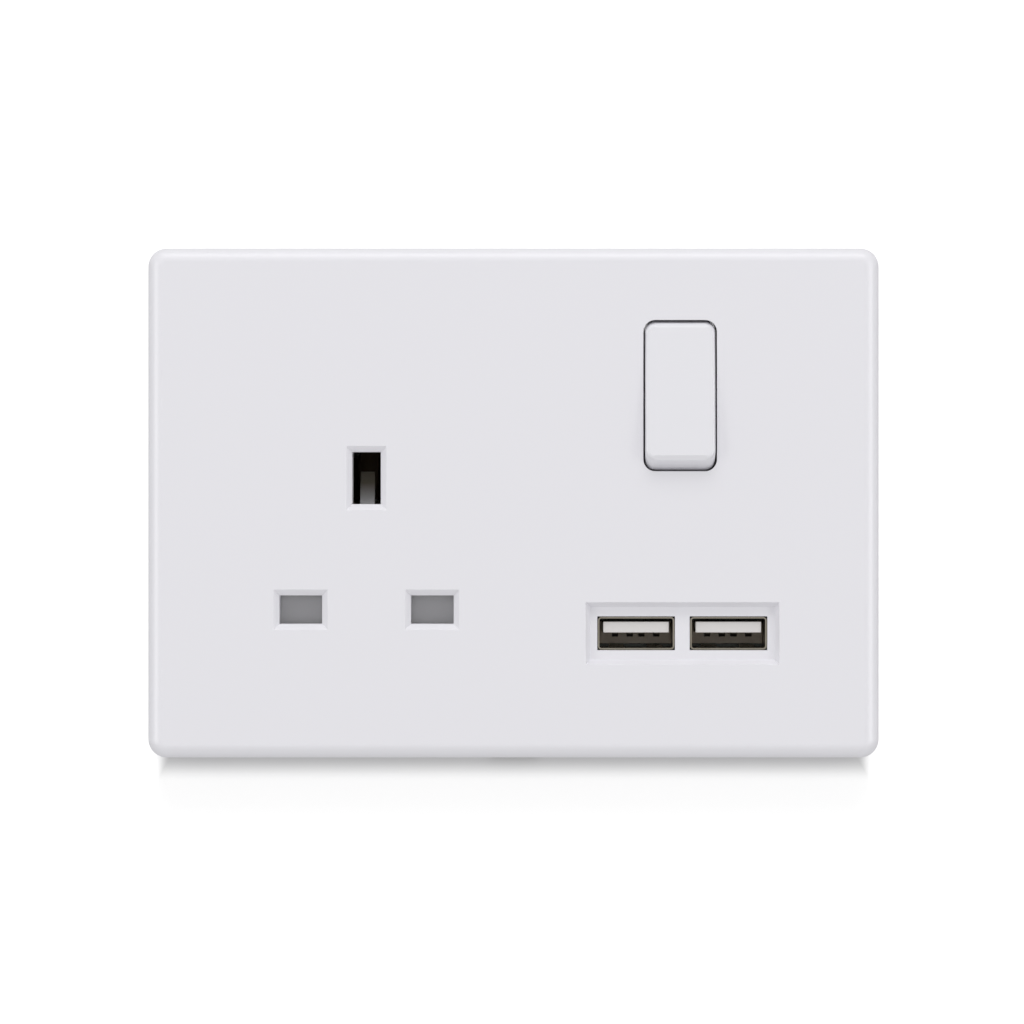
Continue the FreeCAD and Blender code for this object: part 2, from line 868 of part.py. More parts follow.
def make_inner_cover():
    cover = add_node("inner_cover")
    mechanism_outline(cover, 0, "cover_back_y")
    inner = "blade_half + shutter_gap"
    outer = "blade_half + shutter_gap + guide_wall"
    stem_inner = "stem_width / 2 + shutter_gap"
    stem_outer = "stem_width / 2 + shutter_gap + guide_wall"
    extrude(
        cover,
        "shutter_guides",
        "shutter_front_y",
        0,
        span(f"socket_x - ({outer})", f"socket_x - ({inner})", "lug_low_z", "blade_top_z"),
        span(f"socket_x + ({inner})", f"socket_x + ({outer})", "lug_low_z", "blade_top_z"),
        span(
            f"socket_x - ({stem_outer})",
            f"socket_x - ({stem_inner})",
            "blade_top_z + fit_gap",
            "earth_low_z",
        ),
        span(
            f"socket_x + ({stem_inner})",
            f"socket_x + ({stem_outer})",
            "blade_top_z + fit_gap",
            "earth_low_z",
        ),
    )
    seat_half = "spring_radius + spring_wire / 2 + fit_gap"
    extrude(
        cover,
        "spring_lug",
        "shutter_front_y - spring_wire",
        0,
        span(
            f"socket_x - ({seat_half})",
            f"socket_x + ({seat_half})",
            "lug_low_z",
            "spring_low_z - spring_wire / 2",
        ),
    )
    extrude(
        cover,
        "pin_ways",
        0,
        "cover_back_y",
        *live_slots("live_slot_width", "live_slot_height"),
        earth_slot("earth_slot_width", "earth_slot_height"),
        cut=True,
    )
    extrude(
        cover,
        "wedge_way",
        0,
        "cover_back_y",
        span(
            "socket_x - wedge_width / 2 - fit_gap",
            "socket_x + wedge_width / 2 + fit_gap",
            "earth_low_z - shutter_travel - wedge_rise - fit_gap",
            "earth_low_z + fit_gap",
        ),
        cut=True,
    )
    spring_mid_y = "(shutter_front_y + shutter_back_y) / 2"
    extrude(
        cover,
        "spring_groove",
        0,
        f"{spring_mid_y} + spring_radius + spring_wire / 2 + fit_gap",
        span(
            f"socket_x - ({seat_half})",
            f"socket_x + ({seat_half})",
            "spring_low_z - spring_wire / 2",
            "blade_top_z",
        ),
        cut=True,
    )
    cheek_in = "key_width / 2 + fit_gap"
    cheek_out = "key_width / 2 + fit_gap + cheek_thickness"
    cheek_spans = [
        span(
            f"switch_x - ({cheek_out})",
            f"switch_x - ({cheek_in})",
            "switch_z - cheek_half_height",
            "switch_z + cheek_half_height",
        ),
        span(
            f"switch_x + ({cheek_in})",
            f"switch_x + ({cheek_out})",
            "switch_z - cheek_half_height",
            "switch_z + cheek_half_height",
        ),
    ]
    extrude(cover, "bearing_cheeks", "-cheek_height", 0, *cheek_spans)
    across = ("-plate_width", "plate_width")
    extrude(
        cover,
        "bearing_holes",
        *across,
        circle("key_pivot_y", "switch_z", "trunnion_radius + bearing_gap"),
        cut=True,
        plane="YZ_Plane",
    )
    extrude(
        cover,
        "bearing_mouths",
        *across,
        span(
            "-cheek_height",
            "key_pivot_y",
            "switch_z - cheek_mouth / 2",
            "switch_z + cheek_mouth / 2",
        ),
        cut=True,
        plane="YZ_Plane",
    )
    extrude(
        cover,
        "peg_way",
        0,
        "cover_back_y",
        rect(
            "switch_x",
            "switch_z",
            "2 * (peg_radius + 2 * fit_gap)",
            "2 * (peg_radius + (peg_length + fit_gap) * sin(key_tilt / 2 * 1deg) + 2 * fit_gap)",
        ),
        cut=True,
    )
    extrude(
        cover,
        "screw_holes",
        0,
        "cover_back_y",
        *[screw_hole(x, z, "screw_radius + fit_gap / 2") for x, z in assembly_points()],
        cut=True,
    )


def terminal_columns():
    return ["neutral_terminal_x", "socket_x", "line_terminal_x"]


def make_socket_base():
    base = add_node("socket_base")
    mechanism_outline(base, "cover_back_y", "base_back_y")
    gap = "chamber_gap"
    clip_room = f"2 * (clip_mouth + {gap} / 2)"
    extrude(
        base,
        "contact_chambers",
        "cover_back_y",
        "floor_y",
        *live_slots(f"clip_width + 2 * {gap}", clip_room),
        rect("socket_x", "earth_z", clip_room, f"earth_clip_width + 2 * {gap}"),
        cut=True,
    )
    extrude(
        base,
        "wedge_room",
        "cover_back_y",
        "wedge_depth + fit_gap",
        span(
            "socket_x - wedge_width / 2 - fit_gap",
            "socket_x + wedge_width / 2 + fit_gap",
            "earth_low_z - shutter_travel - wedge_rise - fit_gap",
            "earth_z",
        ),
        cut=True,
    )
    room = "terminal_width / 2 + fit_gap"
    for column, name in zip(terminal_columns(), ("neutral", "earth", "line")):
        extrude(
            base,
            f"{name}_terminal_room",
            "cover_back_y",
            "floor_y",
            rect(column, "terminal_z", f"2 * ({room})", f"2 * ({room})"),
            cut=True,
        )
    extrude(
        base,
        "neutral_way",
        "cover_back_y",
        "floor_y",
        span(
            f"neutral_strap_x - strap_width / 2 - {gap} / 3",
            f"neutral_strap_x + strap_width / 2 + {gap} / 3",
            f"live_z - clip_waist - strip_thickness - {gap} / 3",
            "terminal_z",
        ),
        cut=True,
    )
    extrude(
        base,
        "earth_way",
        "cover_back_y",
        "floor_y",
        span(
            f"socket_x - strap_width / 2 - {gap} / 3",
            f"socket_x + strap_width / 2 + {gap} / 3",
            "earth_z",
            "terminal_z",
        ),
        cut=True,
    )
    extrude(
        base,
        "switch_chamber",
        "cover_back_y",
        "floor_y",
        span(
            "switch_x - seesaw_width / 2 - stop_width",
            "load_right_x + fit_gap",
            "switch_low_z",
            "base_top_z - base_wall",
        ),
        cut=True,
    )
    extrude(
        base,
        "line_way",
        "cover_back_y",
        "floor_y",
        span(
            "line_terminal_x",
            "switch_x",
            "switch_z - edge_thickness - fit_gap",
            "terminal_z",
        ),
        cut=True,
    )
    extrude(
        base,
        "load_way",
        "cover_back_y",
        "floor_y",
        span(
            f"line_strap_x - strap_width / 2 - {gap} / 3",
            f"line_strap_x + strap_width / 2 + {gap} / 3",
            f"live_z - clip_waist - strip_thickness - {gap} / 3",
            "load_strap_z + strap_width / 2",
        ),
        cut=True,
    )
    extrude(
        base,
        "load_cross_way",
        "cover_back_y",
        "floor_y",
        span(
            "line_strap_x - strap_width / 2",
            "load_right_x + fit_gap",
            f"load_strap_z - strap_width / 2 - {gap} / 3",
            f"load_strap_z + strap_width / 2 + {gap} / 3",
        ),
        cut=True,
    )
    extrude(
        base,
        "lead_way",
        "cover_back_y",
        "floor_y",
        span(
            "neutral_strap_x - lead_radius - fit_gap",
            "case_left_x - fit_gap - base_wall",
            "lead_low_z - lead_radius - fit_gap",
            "lead_high_z + lead_radius + fit_gap",
        ),
        cut=True,
    )
    extrude(
        base,
        "lead_holes",
        "case_left_x - fit_gap - 2 * base_wall",
        "case_left_x",
        screw_hole("lead_depth", "lead_low_z", "lead_radius + fit_gap / 2"),
        screw_hole("lead_depth", "lead_high_z", "lead_radius + fit_gap / 2"),
        cut=True,
        plane="YZ_Plane",
    )
    extrude(
        base,
        "seesaw_stop",
        "seesaw_y + seesaw_half_length * sin(seesaw_tilt / 2 * 1deg) + tip_gap",
        "floor_y",
        rect("switch_x", "switch_z - seesaw_half_length + stop_width / 2", "seesaw_width", "stop_width"),
    )
    extrude(
        base,
        "driver_holes",
        "floor_y",
        "base_back_y",
        *[screw_hole(x, "terminal_z", "terminal_head_radius + fit_gap") for x in terminal_columns()],
        cut=True,
    )
    extrude(
        base,
        "wire_entries",
        "terminal_z",
        "base_top_z",
        *[screw_hole(x, "wire_depth_y", "entry_radius") for x in terminal_columns()],
        cut=True,
        plane="XY_Plane",
    )
    extrude(
        base,
        "screw_holes",
        "cover_back_y",
        "base_back_y",
        *[screw_hole(x, z, "screw_radius + fit_gap / 2") for x, z in assembly_points()],
        cut=True,
    )
    extrude(
        base,
        "counterbores",
        "base_back_y - counterbore_depth",
        "base_back_y",
        *[screw_hole(x, z, "screw_head_radius + fit_gap / 2") for x, z in assembly_points()],
        cut=True,
    )


def make_shutter():
    shutter = add_node("shutter")
    extrude(
        shutter,
        "crossbar",
        "shutter_front_y",
        "shutter_back_y",
        span("socket_x - blade_half", "socket_x + blade_half", "blade_bottom_z", "blade_top_z"),
    )
    stem_top = "earth_low_z - shutter_gap"
    extrude(
        shutter,
        "stem",
        "shutter_front_y",
        "shutter_back_y",
        span(
            "socket_x - stem_width / 2", "socket_x + stem_width / 2", "blade_top_z", stem_top
        ),
    )
    extrude(
        shutter,
        "wedge",
        "socket_x - wedge_width / 2",
        "socket_x + wedge_width / 2",
        outline(
            ("shutter_front_y", stem_top),
            ("wedge_depth", "earth_low_z + wedge_rise"),
            ("wedge_depth", "earth_low_z - shutter_thickness"),
            ("shutter_back_y", "earth_low_z - wedge_rise"),
            ("shutter_front_y", "earth_low_z - wedge_rise"),
        ),
        plane="YZ_Plane",
    )
    seat_half = "spring_radius + spring_wire / 2 + fit_gap + shutter_gap"
    extrude(
        shutter,
        "spring_window",
        "shutter_front_y",
        "shutter_back_y",
        span(
            f"socket_x - ({seat_half})",
            f"socket_x + ({seat_half})",
            "blade_bottom_z",
            "spring_high_z + spring_wire / 2 + bearing_gap",
        ),
        cut=True,
    )


def coil(name, radius, low, high, turns, along_y=False):
    """A wire wound round the Z or Y axis, with flat sides so that it has few faces."""
    steps_a_turn = 6
    sides = 4
    reach, thick = value(radius), value("spring_wire / 2")
    start, rise = value(low), value(f"({high}) - ({low})")
    steps = round(steps_a_turn * value(turns))
    rings = []
    for step in range(steps + 1):
        turned = 2 * math.pi * step / steps_a_turn
        outward = FreeCAD.Vector(math.cos(turned), math.sin(turned), 0)
        centre = outward * reach + FreeCAD.Vector(0, 0, start + rise * step / steps)
        corners = []
        for side in range(sides):
            round_wire = 2 * math.pi * (side + 0.5) / sides
            across = outward * (thick * math.cos(round_wire))
            corners.append(centre + across + FreeCAD.Vector(0, 0, thick * math.sin(round_wire)))
        if along_y:
            corners = [FreeCAD.Vector(point.x, point.z, -point.y) for point in corners]
        rings.append(Part.makePolygon(corners + corners[:1]))
    spring = doc.addObject("Part::Feature", name)
    spring.Label = name
    spring.Shape = Part.makeLoft(rings, True, True)
    nodes.append(spring)
    return spring


def make_shutter_spring():
    spring = coil(
        "shutter_spring",
        "spring_radius",
        "spring_low_z + bearing_gap",
        "spring_high_z",
        "spring_turns",
    )
    place(spring, "socket_x", "(shutter_front_y + shutter_back_y) / 2")


def key_section(body, name, level, inset, corner=None):
    """A section of the rocker across its depth, as long as the arc round its pivot allows."""
    half_length = f"(sqrt(key_radius ^ 2 - ({level}) ^ 2) - ({inset}))"
    loop = rect(0, 0, f"key_width - 2 * ({inset})", f"2 * {half_length}", corner)
    return sketch_on(body, name, "XZ_Plane", f"-({level})", [loop])


def loft(body, name, kind, sections):
    feature = body.newObject(kind, name)
    feature.Profile = sections[0]
    feature.Sections = sections[1:]
    feature.Ruled = True
    doc.recompute()


def set_on_key_pivot(body):
    body.Placement = FreeCAD.Placement(
        FreeCAD.Vector(), FreeCAD.Rotation(FreeCAD.Vector(-1, 0, 0), value("key_tilt / 2"))
    )
    place(body, "switch_x", "key_pivot_y", "switch_z")
    body.setExpression("Placement.Rotation.Angle", bound("key_tilt / 2"))


def make_rocker():
    rocker = add_node("rocker")
    corner = "key_slot_corner - key_gap"
    levels = ["key_front + key_round", "key_front / 2", 0, "key_skirt"]
    front = key_section(rocker, "face", "key_front", "key_round", f"{corner} - key_round")
    sides = [
        key_section(rocker, f"side_{number}", level, 0, corner)
        for number, level in enumerate(levels, start=1)
    ]
    loft(rocker, "key", "PartDesign::AdditiveLoft", [front] + sides)
    inside = "key_front + key_wall"
    hollow = [
        key_section(rocker, "hollow_bottom", inside, "key_wall"),
        key_section(rocker, "hollow_mouth", "key_skirt", "key_wall"),
    ]
    loft(rocker, "hollow", "PartDesign::SubtractiveLoft", hollow)
    extrude(
        rocker,
        "peg",
        inside,
        "peg_length",
        twelve_sided(0, 0, "peg_radius"),
    )
    extrude(
        rocker,
        "rib",
        inside,
        "-key_skirt",
        rect(0, 0, "key_width - key_wall", "key_wall"),
    )
    extrude(
        rocker,
        "plunger_bore",
        "-plunger_bore_depth",
        "peg_length",
        circle(0, 0, "plunger_radius + plunger_gap"),
        cut=True,
    )
    for side, low, high in (
        ("right", "key_width / 2 - key_wall / 2", "key_width / 2 + trunnion_length"),
        ("left", "-key_width / 2 - trunnion_length", "-key_width / 2 + key_wall / 2"),
    ):
        extrude(
            rocker,
            f"{side}_trunnion",
            low,
            high,
            circle(0, 0, "trunnion_radius"),
            plane="YZ_Plane",
        )
    set_on_key_pivot(rocker)


def make_plunger():
    plunger = add_node("plunger")
    extrude(
        plunger,
        "rod",
        "plunger_reach - plunger_length",
        "plunger_reach",
        circle(0, 0, "plunger_radius"),
    )
    dress(
        plunger,
        "point",
        "PartDesign::Chamfer",
        "plunger_radius - plunger_tip",
        lambda edge: lies_at(edge, "y", "plunger_reach"),
    )
    set_on_key_pivot(plunger)


def make_plunger_spring():
    spring = coil(
        "plunger_spring",
        "plunger_spring_radius",
        "-plunger_bore_depth + spring_wire / 2 + bearing_gap",
        "plunger_reach - plunger_length - plunger_travel - spring_wire / 2 - bearing_gap",
        "plunger_spring_turns",
        along_y=True,
    )
    set_on_key_pivot(spring)


def make_moving_contact():
    contact = add_node("moving_contact")
    extrude(
        contact,
        "bridge",
        "-seesaw_thickness",
        0,
        rect(0, 0, "seesaw_width", "2 * seesaw_half_length"),
    )
    extrude(
        contact, "button", 0, "button_height", twelve_sided(0, "button_offset", "button_radius")
    )
    extrude(
        contact,
        "groove",
        "-seesaw_width / 2",
        "seesaw_width / 2",
        circle(0, 0, "edge_radius + bearing_gap"),
        cut=True,
        plane="YZ_Plane",
    )
    contact.Placement = FreeCAD.Placement(
        FreeCAD.Vector(), FreeCAD.Rotation(FreeCAD.Vector(1, 0, 0), value("seesaw_tilt / 2"))
    )
    place(contact, "switch_x", "seesaw_y", "switch_z")
    contact.setExpression("Placement.Rotation.Angle", bound("seesaw_tilt / 2"))


def clip_outline(low, middle, swap=False):
    """The section of a folded spring clip: two bowed leaves joined by a web at the back."""
    sheet = "strip_thickness"
    grip_y = f"{low} + (strip_y - ({low})) / 3"
    half = [
        (low, "clip_mouth"),
        (grip_y, f"clip_grip + {sheet}"),
        ("floor_y - base_floor", f"clip_waist + {sheet}"),
        ("floor_y", f"clip_waist + {sheet}"),
    ]
    inner = [
        ("strip_y", "clip_waist"),
        ("floor_y - base_floor", "clip_waist"),
        (grip_y, "clip_grip"),
        (low, f"clip_mouth - {sheet}"),
    ]
    upper = [(y, f"{middle} + {reach}") for y, reach in half]
    lower = [(y, f"{middle} - ({reach})") for y, reach in reversed(half)]
    lower_in = [(y, f"{middle} - ({reach})") for y, reach in reversed(inner)]
    upper_in = [(y, f"{middle} + {reach}") for y, reach in inner]
    points = upper + lower + lower_in + upper_in
    return outline(*[(across, y) if swap else (y, across) for y, across in points])


def add_strap(body, name, *areas):
    extrude(body, name, "strip_y", "floor_y", *areas)


def add_terminal_pad(body, column):
    add_strap(
        body, "terminal_pad", rect(column, "terminal_z", "terminal_width", "terminal_width")
    )
    extrude(
        body,
        "screw_hole",
        "strip_y",
        "floor_y",
        screw_hole(column, "terminal_z", "terminal_screw_radius + fit_gap"),
        cut=True,
    )


def live_clip(body, x):
    extrude(
        body,
        "clip",
        f"{x} - clip_width / 2",
        f"{x} + clip_width / 2",
        clip_outline("cover_back_y + clip_front", "live_z"),
        plane="YZ_Plane",
    )


def make_neutral_contact():
    contact = add_node("neutral_contact")
    live_clip(contact, "neutral_x")
    foot = "clip_waist + strip_thickness"
    add_strap(
        contact,
        "foot",
        span(
            "neutral_x",
            "neutral_strap_x + strap_width / 2",
            f"live_z - ({foot})",
            f"live_z + {foot}",
        ),
    )
    add_strap(
        contact,
        "strap",
        span(
            "neutral_strap_x - strap_width / 2",
            "neutral_strap_x + strap_width / 2",
            "live_z",
            "terminal_z",
        ),
    )
    add_terminal_pad(contact, "neutral_terminal_x")


def make_earth_contact():
    contact = add_node("earth_contact")
    extrude(
        contact,
        "clip",
        "earth_z - earth_clip_width / 2",
        "earth_z + earth_clip_width / 2",
        clip_outline("cover_back_y + clip_front", "socket_x", swap=True),
        plane="XY_Plane",
    )
    add_strap(
        contact,
        "strap",
        span(
            "socket_x - strap_width / 2", "socket_x + strap_width / 2", "earth_z", "terminal_z"
        ),
    )
    add_terminal_pad(contact, "socket_x")


def make_line_contact():
    contact = add_node("line_contact")
    live_clip(contact, "line_x")
    foot = "clip_waist + strip_thickness"
    low_z, high_z = "load_strap_z - strap_width / 2", "load_strap_z + strap_width / 2"
    right = "load_right_x"
    add_strap(
        contact,
        "foot",
        span("line_x", "line_strap_x + strap_width / 2", f"live_z - ({foot})", f"live_z + {foot}"),
    )
    add_strap(
        contact,
        "riser",
        span(
            "line_strap_x - strap_width / 2",
            "line_strap_x + strap_width / 2",
            "live_z",
            high_z,
        ),
    )
    add_strap(contact, "crossing", span("line_strap_x - strap_width / 2", right, low_z, high_z))
    add_strap(
        contact,
        "far_riser",
        span(f"{right} - strap_width", right, low_z, "fixed_button_z + strap_width / 2"),
    )
    add_strap(
        contact,
        "arm",
        span(
            "switch_x - seesaw_width / 2",
            right,
            "fixed_button_z - strap_width / 2",
            "fixed_button_z + strap_width / 2",
        ),
    )
    extrude(
        contact,
        "post",
        "button_y + button_height",
        "strip_y",
        rect("switch_x", "fixed_button_z", "seesaw_width", "edge_thickness"),
    )
    extrude(
        contact,
        "button",
        "button_y",
        "button_y + button_height",
        twelve_sided("switch_x", "fixed_button_z", "button_radius"),
    )


def make_line_feed():
    feed = add_node("line_feed")
    add_strap(
        feed,
        "strap",
        span(
            "line_terminal_x",
            "switch_x + seesaw_width / 2",
            "switch_z - edge_thickness",
            "switch_z - edge_thickness + strap_width",
        ),
    )
    half = "edge_thickness / 2"
    extrude(
        feed,
        "fulcrum",
        "switch_x - seesaw_width / 2",
        "switch_x + seesaw_width / 2",
        outline(
            ("strip_y", f"switch_z - {half}"),
            ("strip_y", f"switch_z + {half}"),
            ("seesaw_y + edge_thickness", f"switch_z + {half}"),
            ("seesaw_y + edge_radius / 2", "switch_z + edge_radius * 0.8"),
            ("seesaw_y + edge_radius / 2", "switch_z - edge_radius * 0.8"),
            ("seesaw_y + edge_thickness", f"switch_z - {half}"),
        ),
        plane="YZ_Plane",
    )
    extrude(
        feed,
        "round_edge",
        "switch_x - seesaw_width / 2",
        "switch_x + seesaw_width / 2",
        circle("seesaw_y", "switch_z", "edge_radius"),
        plane="YZ_Plane",
    )
    add_terminal_pad(feed, "line_terminal_x")


def make_terminal(name, column):
    block = add_node(name)
    extrude(
        block,
        "block",
        "strip_y - terminal_depth",
        "strip_y",
        rect(column, "terminal_z", "terminal_width", "terminal_width"),
    )
    extrude(
        block,
        "wire_hole",
        "terminal_z - terminal_width / 2",
        "terminal_z + terminal_width / 2",
        circle(column, "wire_depth_y", "wire_radius"),
        cut=True,
        plane="XY_Plane",
    )
    extrude(
        block,
        "screw_hole",
        "wire_depth_y",
        "strip_y",
        screw_hole(column, "terminal_z", "terminal_screw_radius + bearing_gap"),
        cut=True,
    )


def screw(name, x, z, tip_y, seat_y, radius, head_radius, head_height):
    """A screw with its head towards the back."""
    body = new_body(name)
    extrude(body, "head", 0, head_height, twelve_sided(0, 0, head_radius))
    extrude(body, "shank", f"({tip_y}) - ({seat_y})", 0, twelve_sided(0, 0, radius))
    place(body, x, seat_y, z)
    return body


def group(name, members):
    """One node of like pieces, each a solid of its own."""
    compound = doc.addObject("Part::Compound", name)
    compound.Label = name
    compound.Links = members
    nodes.append(compound)


def make_terminal_screws():
    group(
        "terminal_screws",
        [
            screw(
                f"terminal_screw_{number}",
                column,
                "terminal_z",
                "strip_y - terminal_screw_length",
                "floor_y + bearing_gap",
                "terminal_screw_radius",
                "terminal_head_radius",
                "terminal_head_height",
            )
            for number, column in enumerate(terminal_columns(), start=1)
        ],
    )


def make_assembly_screws():
    group(
        "assembly_screws",
        [
            screw(
                f"assembly_screw_{number}",
                x,
                z,
                "frame_front_y - boss_height + boss_cap + fit_gap",
                "base_back_y - counterbore_depth",
                "screw_radius",
                "screw_head_radius",
                "screw_head_height",
            )
            for number, (x, z) in enumerate(assembly_points(), start=1)
        ],
    )


def make_case_screws():
    group(
        "case_screws",
        [
            screw(
                f"case_screw_{number}",
                x,
                z,
                "frame_front_y - boss_height + boss_cap + fit_gap",
                "case_depth + lid_thickness",
                "screw_radius",
                "screw_head_radius",
                "screw_head_height",
            )
            for number, (x, z) in enumerate(case_points(), start=1)
        ],
    )


def port_columns():
    return [("left", "usb_x - port_pitch / 2"), ("right", "usb_x + port_pitch / 2")]


def make_usb_case():
    case = add_node("usb_case")
    extrude(
        case,
        "block",
        0,
        "case_depth",
        rect("usb_x", "case_z", "case_width", "case_height", "case_wall"),
    )
    extrude(
        case,
        "hollow",
        "case_wall",
        "case_depth",
        rect("usb_x", "case_z", "case_width - 2 * case_wall", "case_height - 2 * case_wall"),
        cut=True,
    )
    extrude(
        case,
        "screw_posts",
        "case_wall",
        "case_depth",
        *[twelve_sided(x, z, "case_post_radius") for x, z in case_points()],
    )
    rest = "2 * case_wall"
    inner_x = "case_width / 2 - case_wall"
    inner_z = "case_height / 2 - case_wall"
    extrude(
        case,
        "board_rests",
        "case_wall",
        "board_front",
        span(
            f"usb_x - ({inner_x})",
            f"usb_x - ({inner_x}) + {rest}",
            f"case_z + {inner_z} - {rest}",
            f"case_z + {inner_z}",
        ),
        span(
            f"usb_x + {inner_x} - {rest}",
            f"usb_x + {inner_x}",
            f"case_z - ({inner_z})",
            f"case_z - ({inner_z}) + {rest}",
        ),
    )
    extrude(
        case,
        "screw_holes",
        0,
        "case_depth",
        *[screw_hole(x, z, "screw_radius + fit_gap / 2") for x, z in case_points()],
        cut=True,
    )
    extrude(
        case,
        "port_windows",
        0,
        "case_wall",
        *[
            rect(x, "usb_z", "shell_width + fit_gap", "shell_height + fit_gap")
            for _, x in port_columns()
        ],
        cut=True,
    )
    extrude(
        case,
        "lead_holes",
        "case_left_x",
        "case_left_x + case_wall",
        screw_hole("lead_depth", "lead_low_z", "lead_radius + fit_gap / 2"),
        screw_hole("lead_depth", "lead_high_z", "lead_radius + fit_gap / 2"),
        cut=True,
        plane="YZ_Plane",
    )


def make_usb_case_lid():
    lid = add_node("usb_case_lid")
    extrude(
        lid,
        "sheet",
        "case_depth",
        "case_depth + lid_thickness",
        rect("usb_x", "case_z", "case_width", "case_height", "case_wall"),
    )
    inner_x = "case_width - 2 * case_wall - fit_gap"
    inner_z = "case_height - 2 * case_wall - fit_gap"
    extrude(
        lid, "lip", "case_depth - lid_lip", "case_depth", rect("usb_x", "case_z", inner_x, inner_z)
    )
    extrude(
        lid,
        "lip_hollow",
        "case_depth - lid_lip",
        "case_depth",
        rect("usb_x", "case_z", f"{inner_x} - 2 * lid_lip", f"{inner_z} - 2 * lid_lip"),
        cut=True,
    )
    extrude(
        lid,
        "post_reliefs",
        "case_depth - lid_lip",
        "case_depth",
        *[screw_hole(x, z, "case_post_radius + fit_gap") for x, z in case_points()],
        cut=True,
    )
    extrude(
        lid,
        "screw_holes",
        "case_depth",
        "case_depth + lid_thickness",
        *[screw_hole(x, z, "screw_radius + fit_gap / 2") for x, z in case_points()],
        cut=True,
    )
    slots = 5
    extrude(
        lid,
        "vents",
        "case_depth",
        "case_depth + lid_thickness",
        *[
            rect(
                f"usb_x + {step - (slots - 1) / 2} * vent_pitch",
                "case_z",
                "vent_width",
                "case_height / 2",
            )
            for step in range(slots)
        ],
        cut=True,
    )


def make_usb_board():
    board = add_node("usb_board")
    extrude(
        board,
        "sheet",
        "board_front",
        "board_back_y",
        rect(
            "usb_x",
            "case_z",
            "case_width - 2 * case_wall - 2 * fit_gap",
            "case_height - 2 * case_wall - 2 * fit_gap",
        ),
    )
    extrude(
        board,
        "post_cuts",
        "board_front",
        "board_back_y",
        *[screw_hole(x, z, "case_post_radius + fit_gap") for x, z in case_points()],
        cut=True,
    )
    extrude(
        board,
        "blade_holes",
        "board_front",
        "board_back_y",
        *[
            rect(f"{x} + {offset}", "blade_z", "blade_width", "2 * blade_thickness")
            for _, x in port_columns()
            for offset in blade_offsets()
        ],
        cut=True,
    )


def blade_offsets():
    return ["(-blade_outer)", "(-blade_inner)", "blade_inner", "blade_outer"]


def make_usb_shell(side, x):
    shell = add_node(f"usb_shell_{side}")
    extrude(
        shell,
        "tube",
        "shell_mouth_y",
        "board_front",
        rect(x, "usb_z", "shell_width", "shell_height", "shell_corner"),
    )
    extrude(
        shell,
        "bore",
        "shell_mouth_y",
        "board_front",
        rect(
            x,
            "usb_z",
            "shell_width - 2 * shell_sheet",
            "shell_height - 2 * shell_sheet",
            "shell_corner - shell_sheet",
        ),
        cut=True,
    )
    leaf_x = [f"{x} - shell_width / 4", f"{x} + shell_width / 4"]
    start = "shell_mouth_y + leaf_length / 2"
    extrude(
        shell,
        "leaf_openings",
        start,
        f"{start} + leaf_length + shell_sheet",
        *[
            rect(column, f"usb_z {sign} (shell_height / 2 - shell_sheet / 2)",
                 "leaf_width + 2 * shell_sheet", "2 * shell_sheet")
            for column in leaf_x
            for sign in ("+", "-")
        ],
        cut=True,
    )
    for number, column in enumerate(leaf_x, start=1):
        outer, inner = "shell_height / 2", "shell_height / 2 - shell_sheet"
        for name, sign in (("upper", "+"), ("lower", "-")):
            dip = "leaf_dip" if sign == "-" else "leaf_dip / 2"
            extrude(
                shell,
                f"{name}_leaf_{number}",
                f"{column} - leaf_width / 2",
                f"{column} + leaf_width / 2",
                outline(
                    (f"{start} - shell_sheet", f"usb_z {sign} ({outer})"),
                    (f"{start} + leaf_length * 0.6", f"usb_z {sign} ({outer} - {dip})"),
                    (f"{start} + leaf_length", f"usb_z {sign} ({outer} - {dip} / 2)"),
                    (f"{start} + leaf_length", f"usb_z {sign} ({inner} - {dip} / 2)"),
                    (f"{start} + leaf_length * 0.6", f"usb_z {sign} ({inner} - {dip})"),
                    (f"{start} - shell_sheet", f"usb_z {sign} ({inner})"),
                ),
                plane="YZ_Plane",
            )


def make_usb_tongue(side, x):
    tongue = add_node(f"usb_tongue_{side}")
    extrude(
        tongue,
        "insulator",
        "board_front - insulator_length",
        "board_front",
        rect(
            x,
            "usb_z",
            "shell_width - 2 * shell_sheet - bearing_gap",
            "shell_height - 2 * shell_sheet - 2 * leaf_dip",
        ),
    )
    extrude(
        tongue,
        "tongue",
        "shell_mouth_y + tongue_setback",
        "board_front - insulator_length",
        rect(x, "tongue_z", "tongue_width", "tongue_thickness"),
    )
    extrude(
        tongue,
        "blade_grooves",
        "shell_mouth_y + 2 * tongue_setback",
        "board_front",
        *[
            rect(
                f"{x} + {offset}",
                "blade_z",
                "blade_width + bearing_gap",
                "blade_thickness + bearing_gap",
            )
            for offset in blade_offsets()
        ],
        cut=True,
    )


def make_usb_contacts(side, x):
    members = []
    for number, offset in enumerate(blade_offsets(), start=1):
        blade = new_body(f"usb_contact_{side}_{number}")
        extrude(
            blade,
            "blade",
            "shell_mouth_y + 2 * tongue_setback + bearing_gap",
            "board_front",
            rect(f"{x} + {offset}", "blade_z", "blade_width", "blade_thickness"),
        )
        extrude(
            blade,
            "tail",
            "board_front",
            "board_front + blade_tail",
            rect(f"{x} + {offset}", "blade_z", "blade_width / 2", "blade_thickness"),
        )
        members.append(blade)
    group(f"usb_contacts_{side}", members)


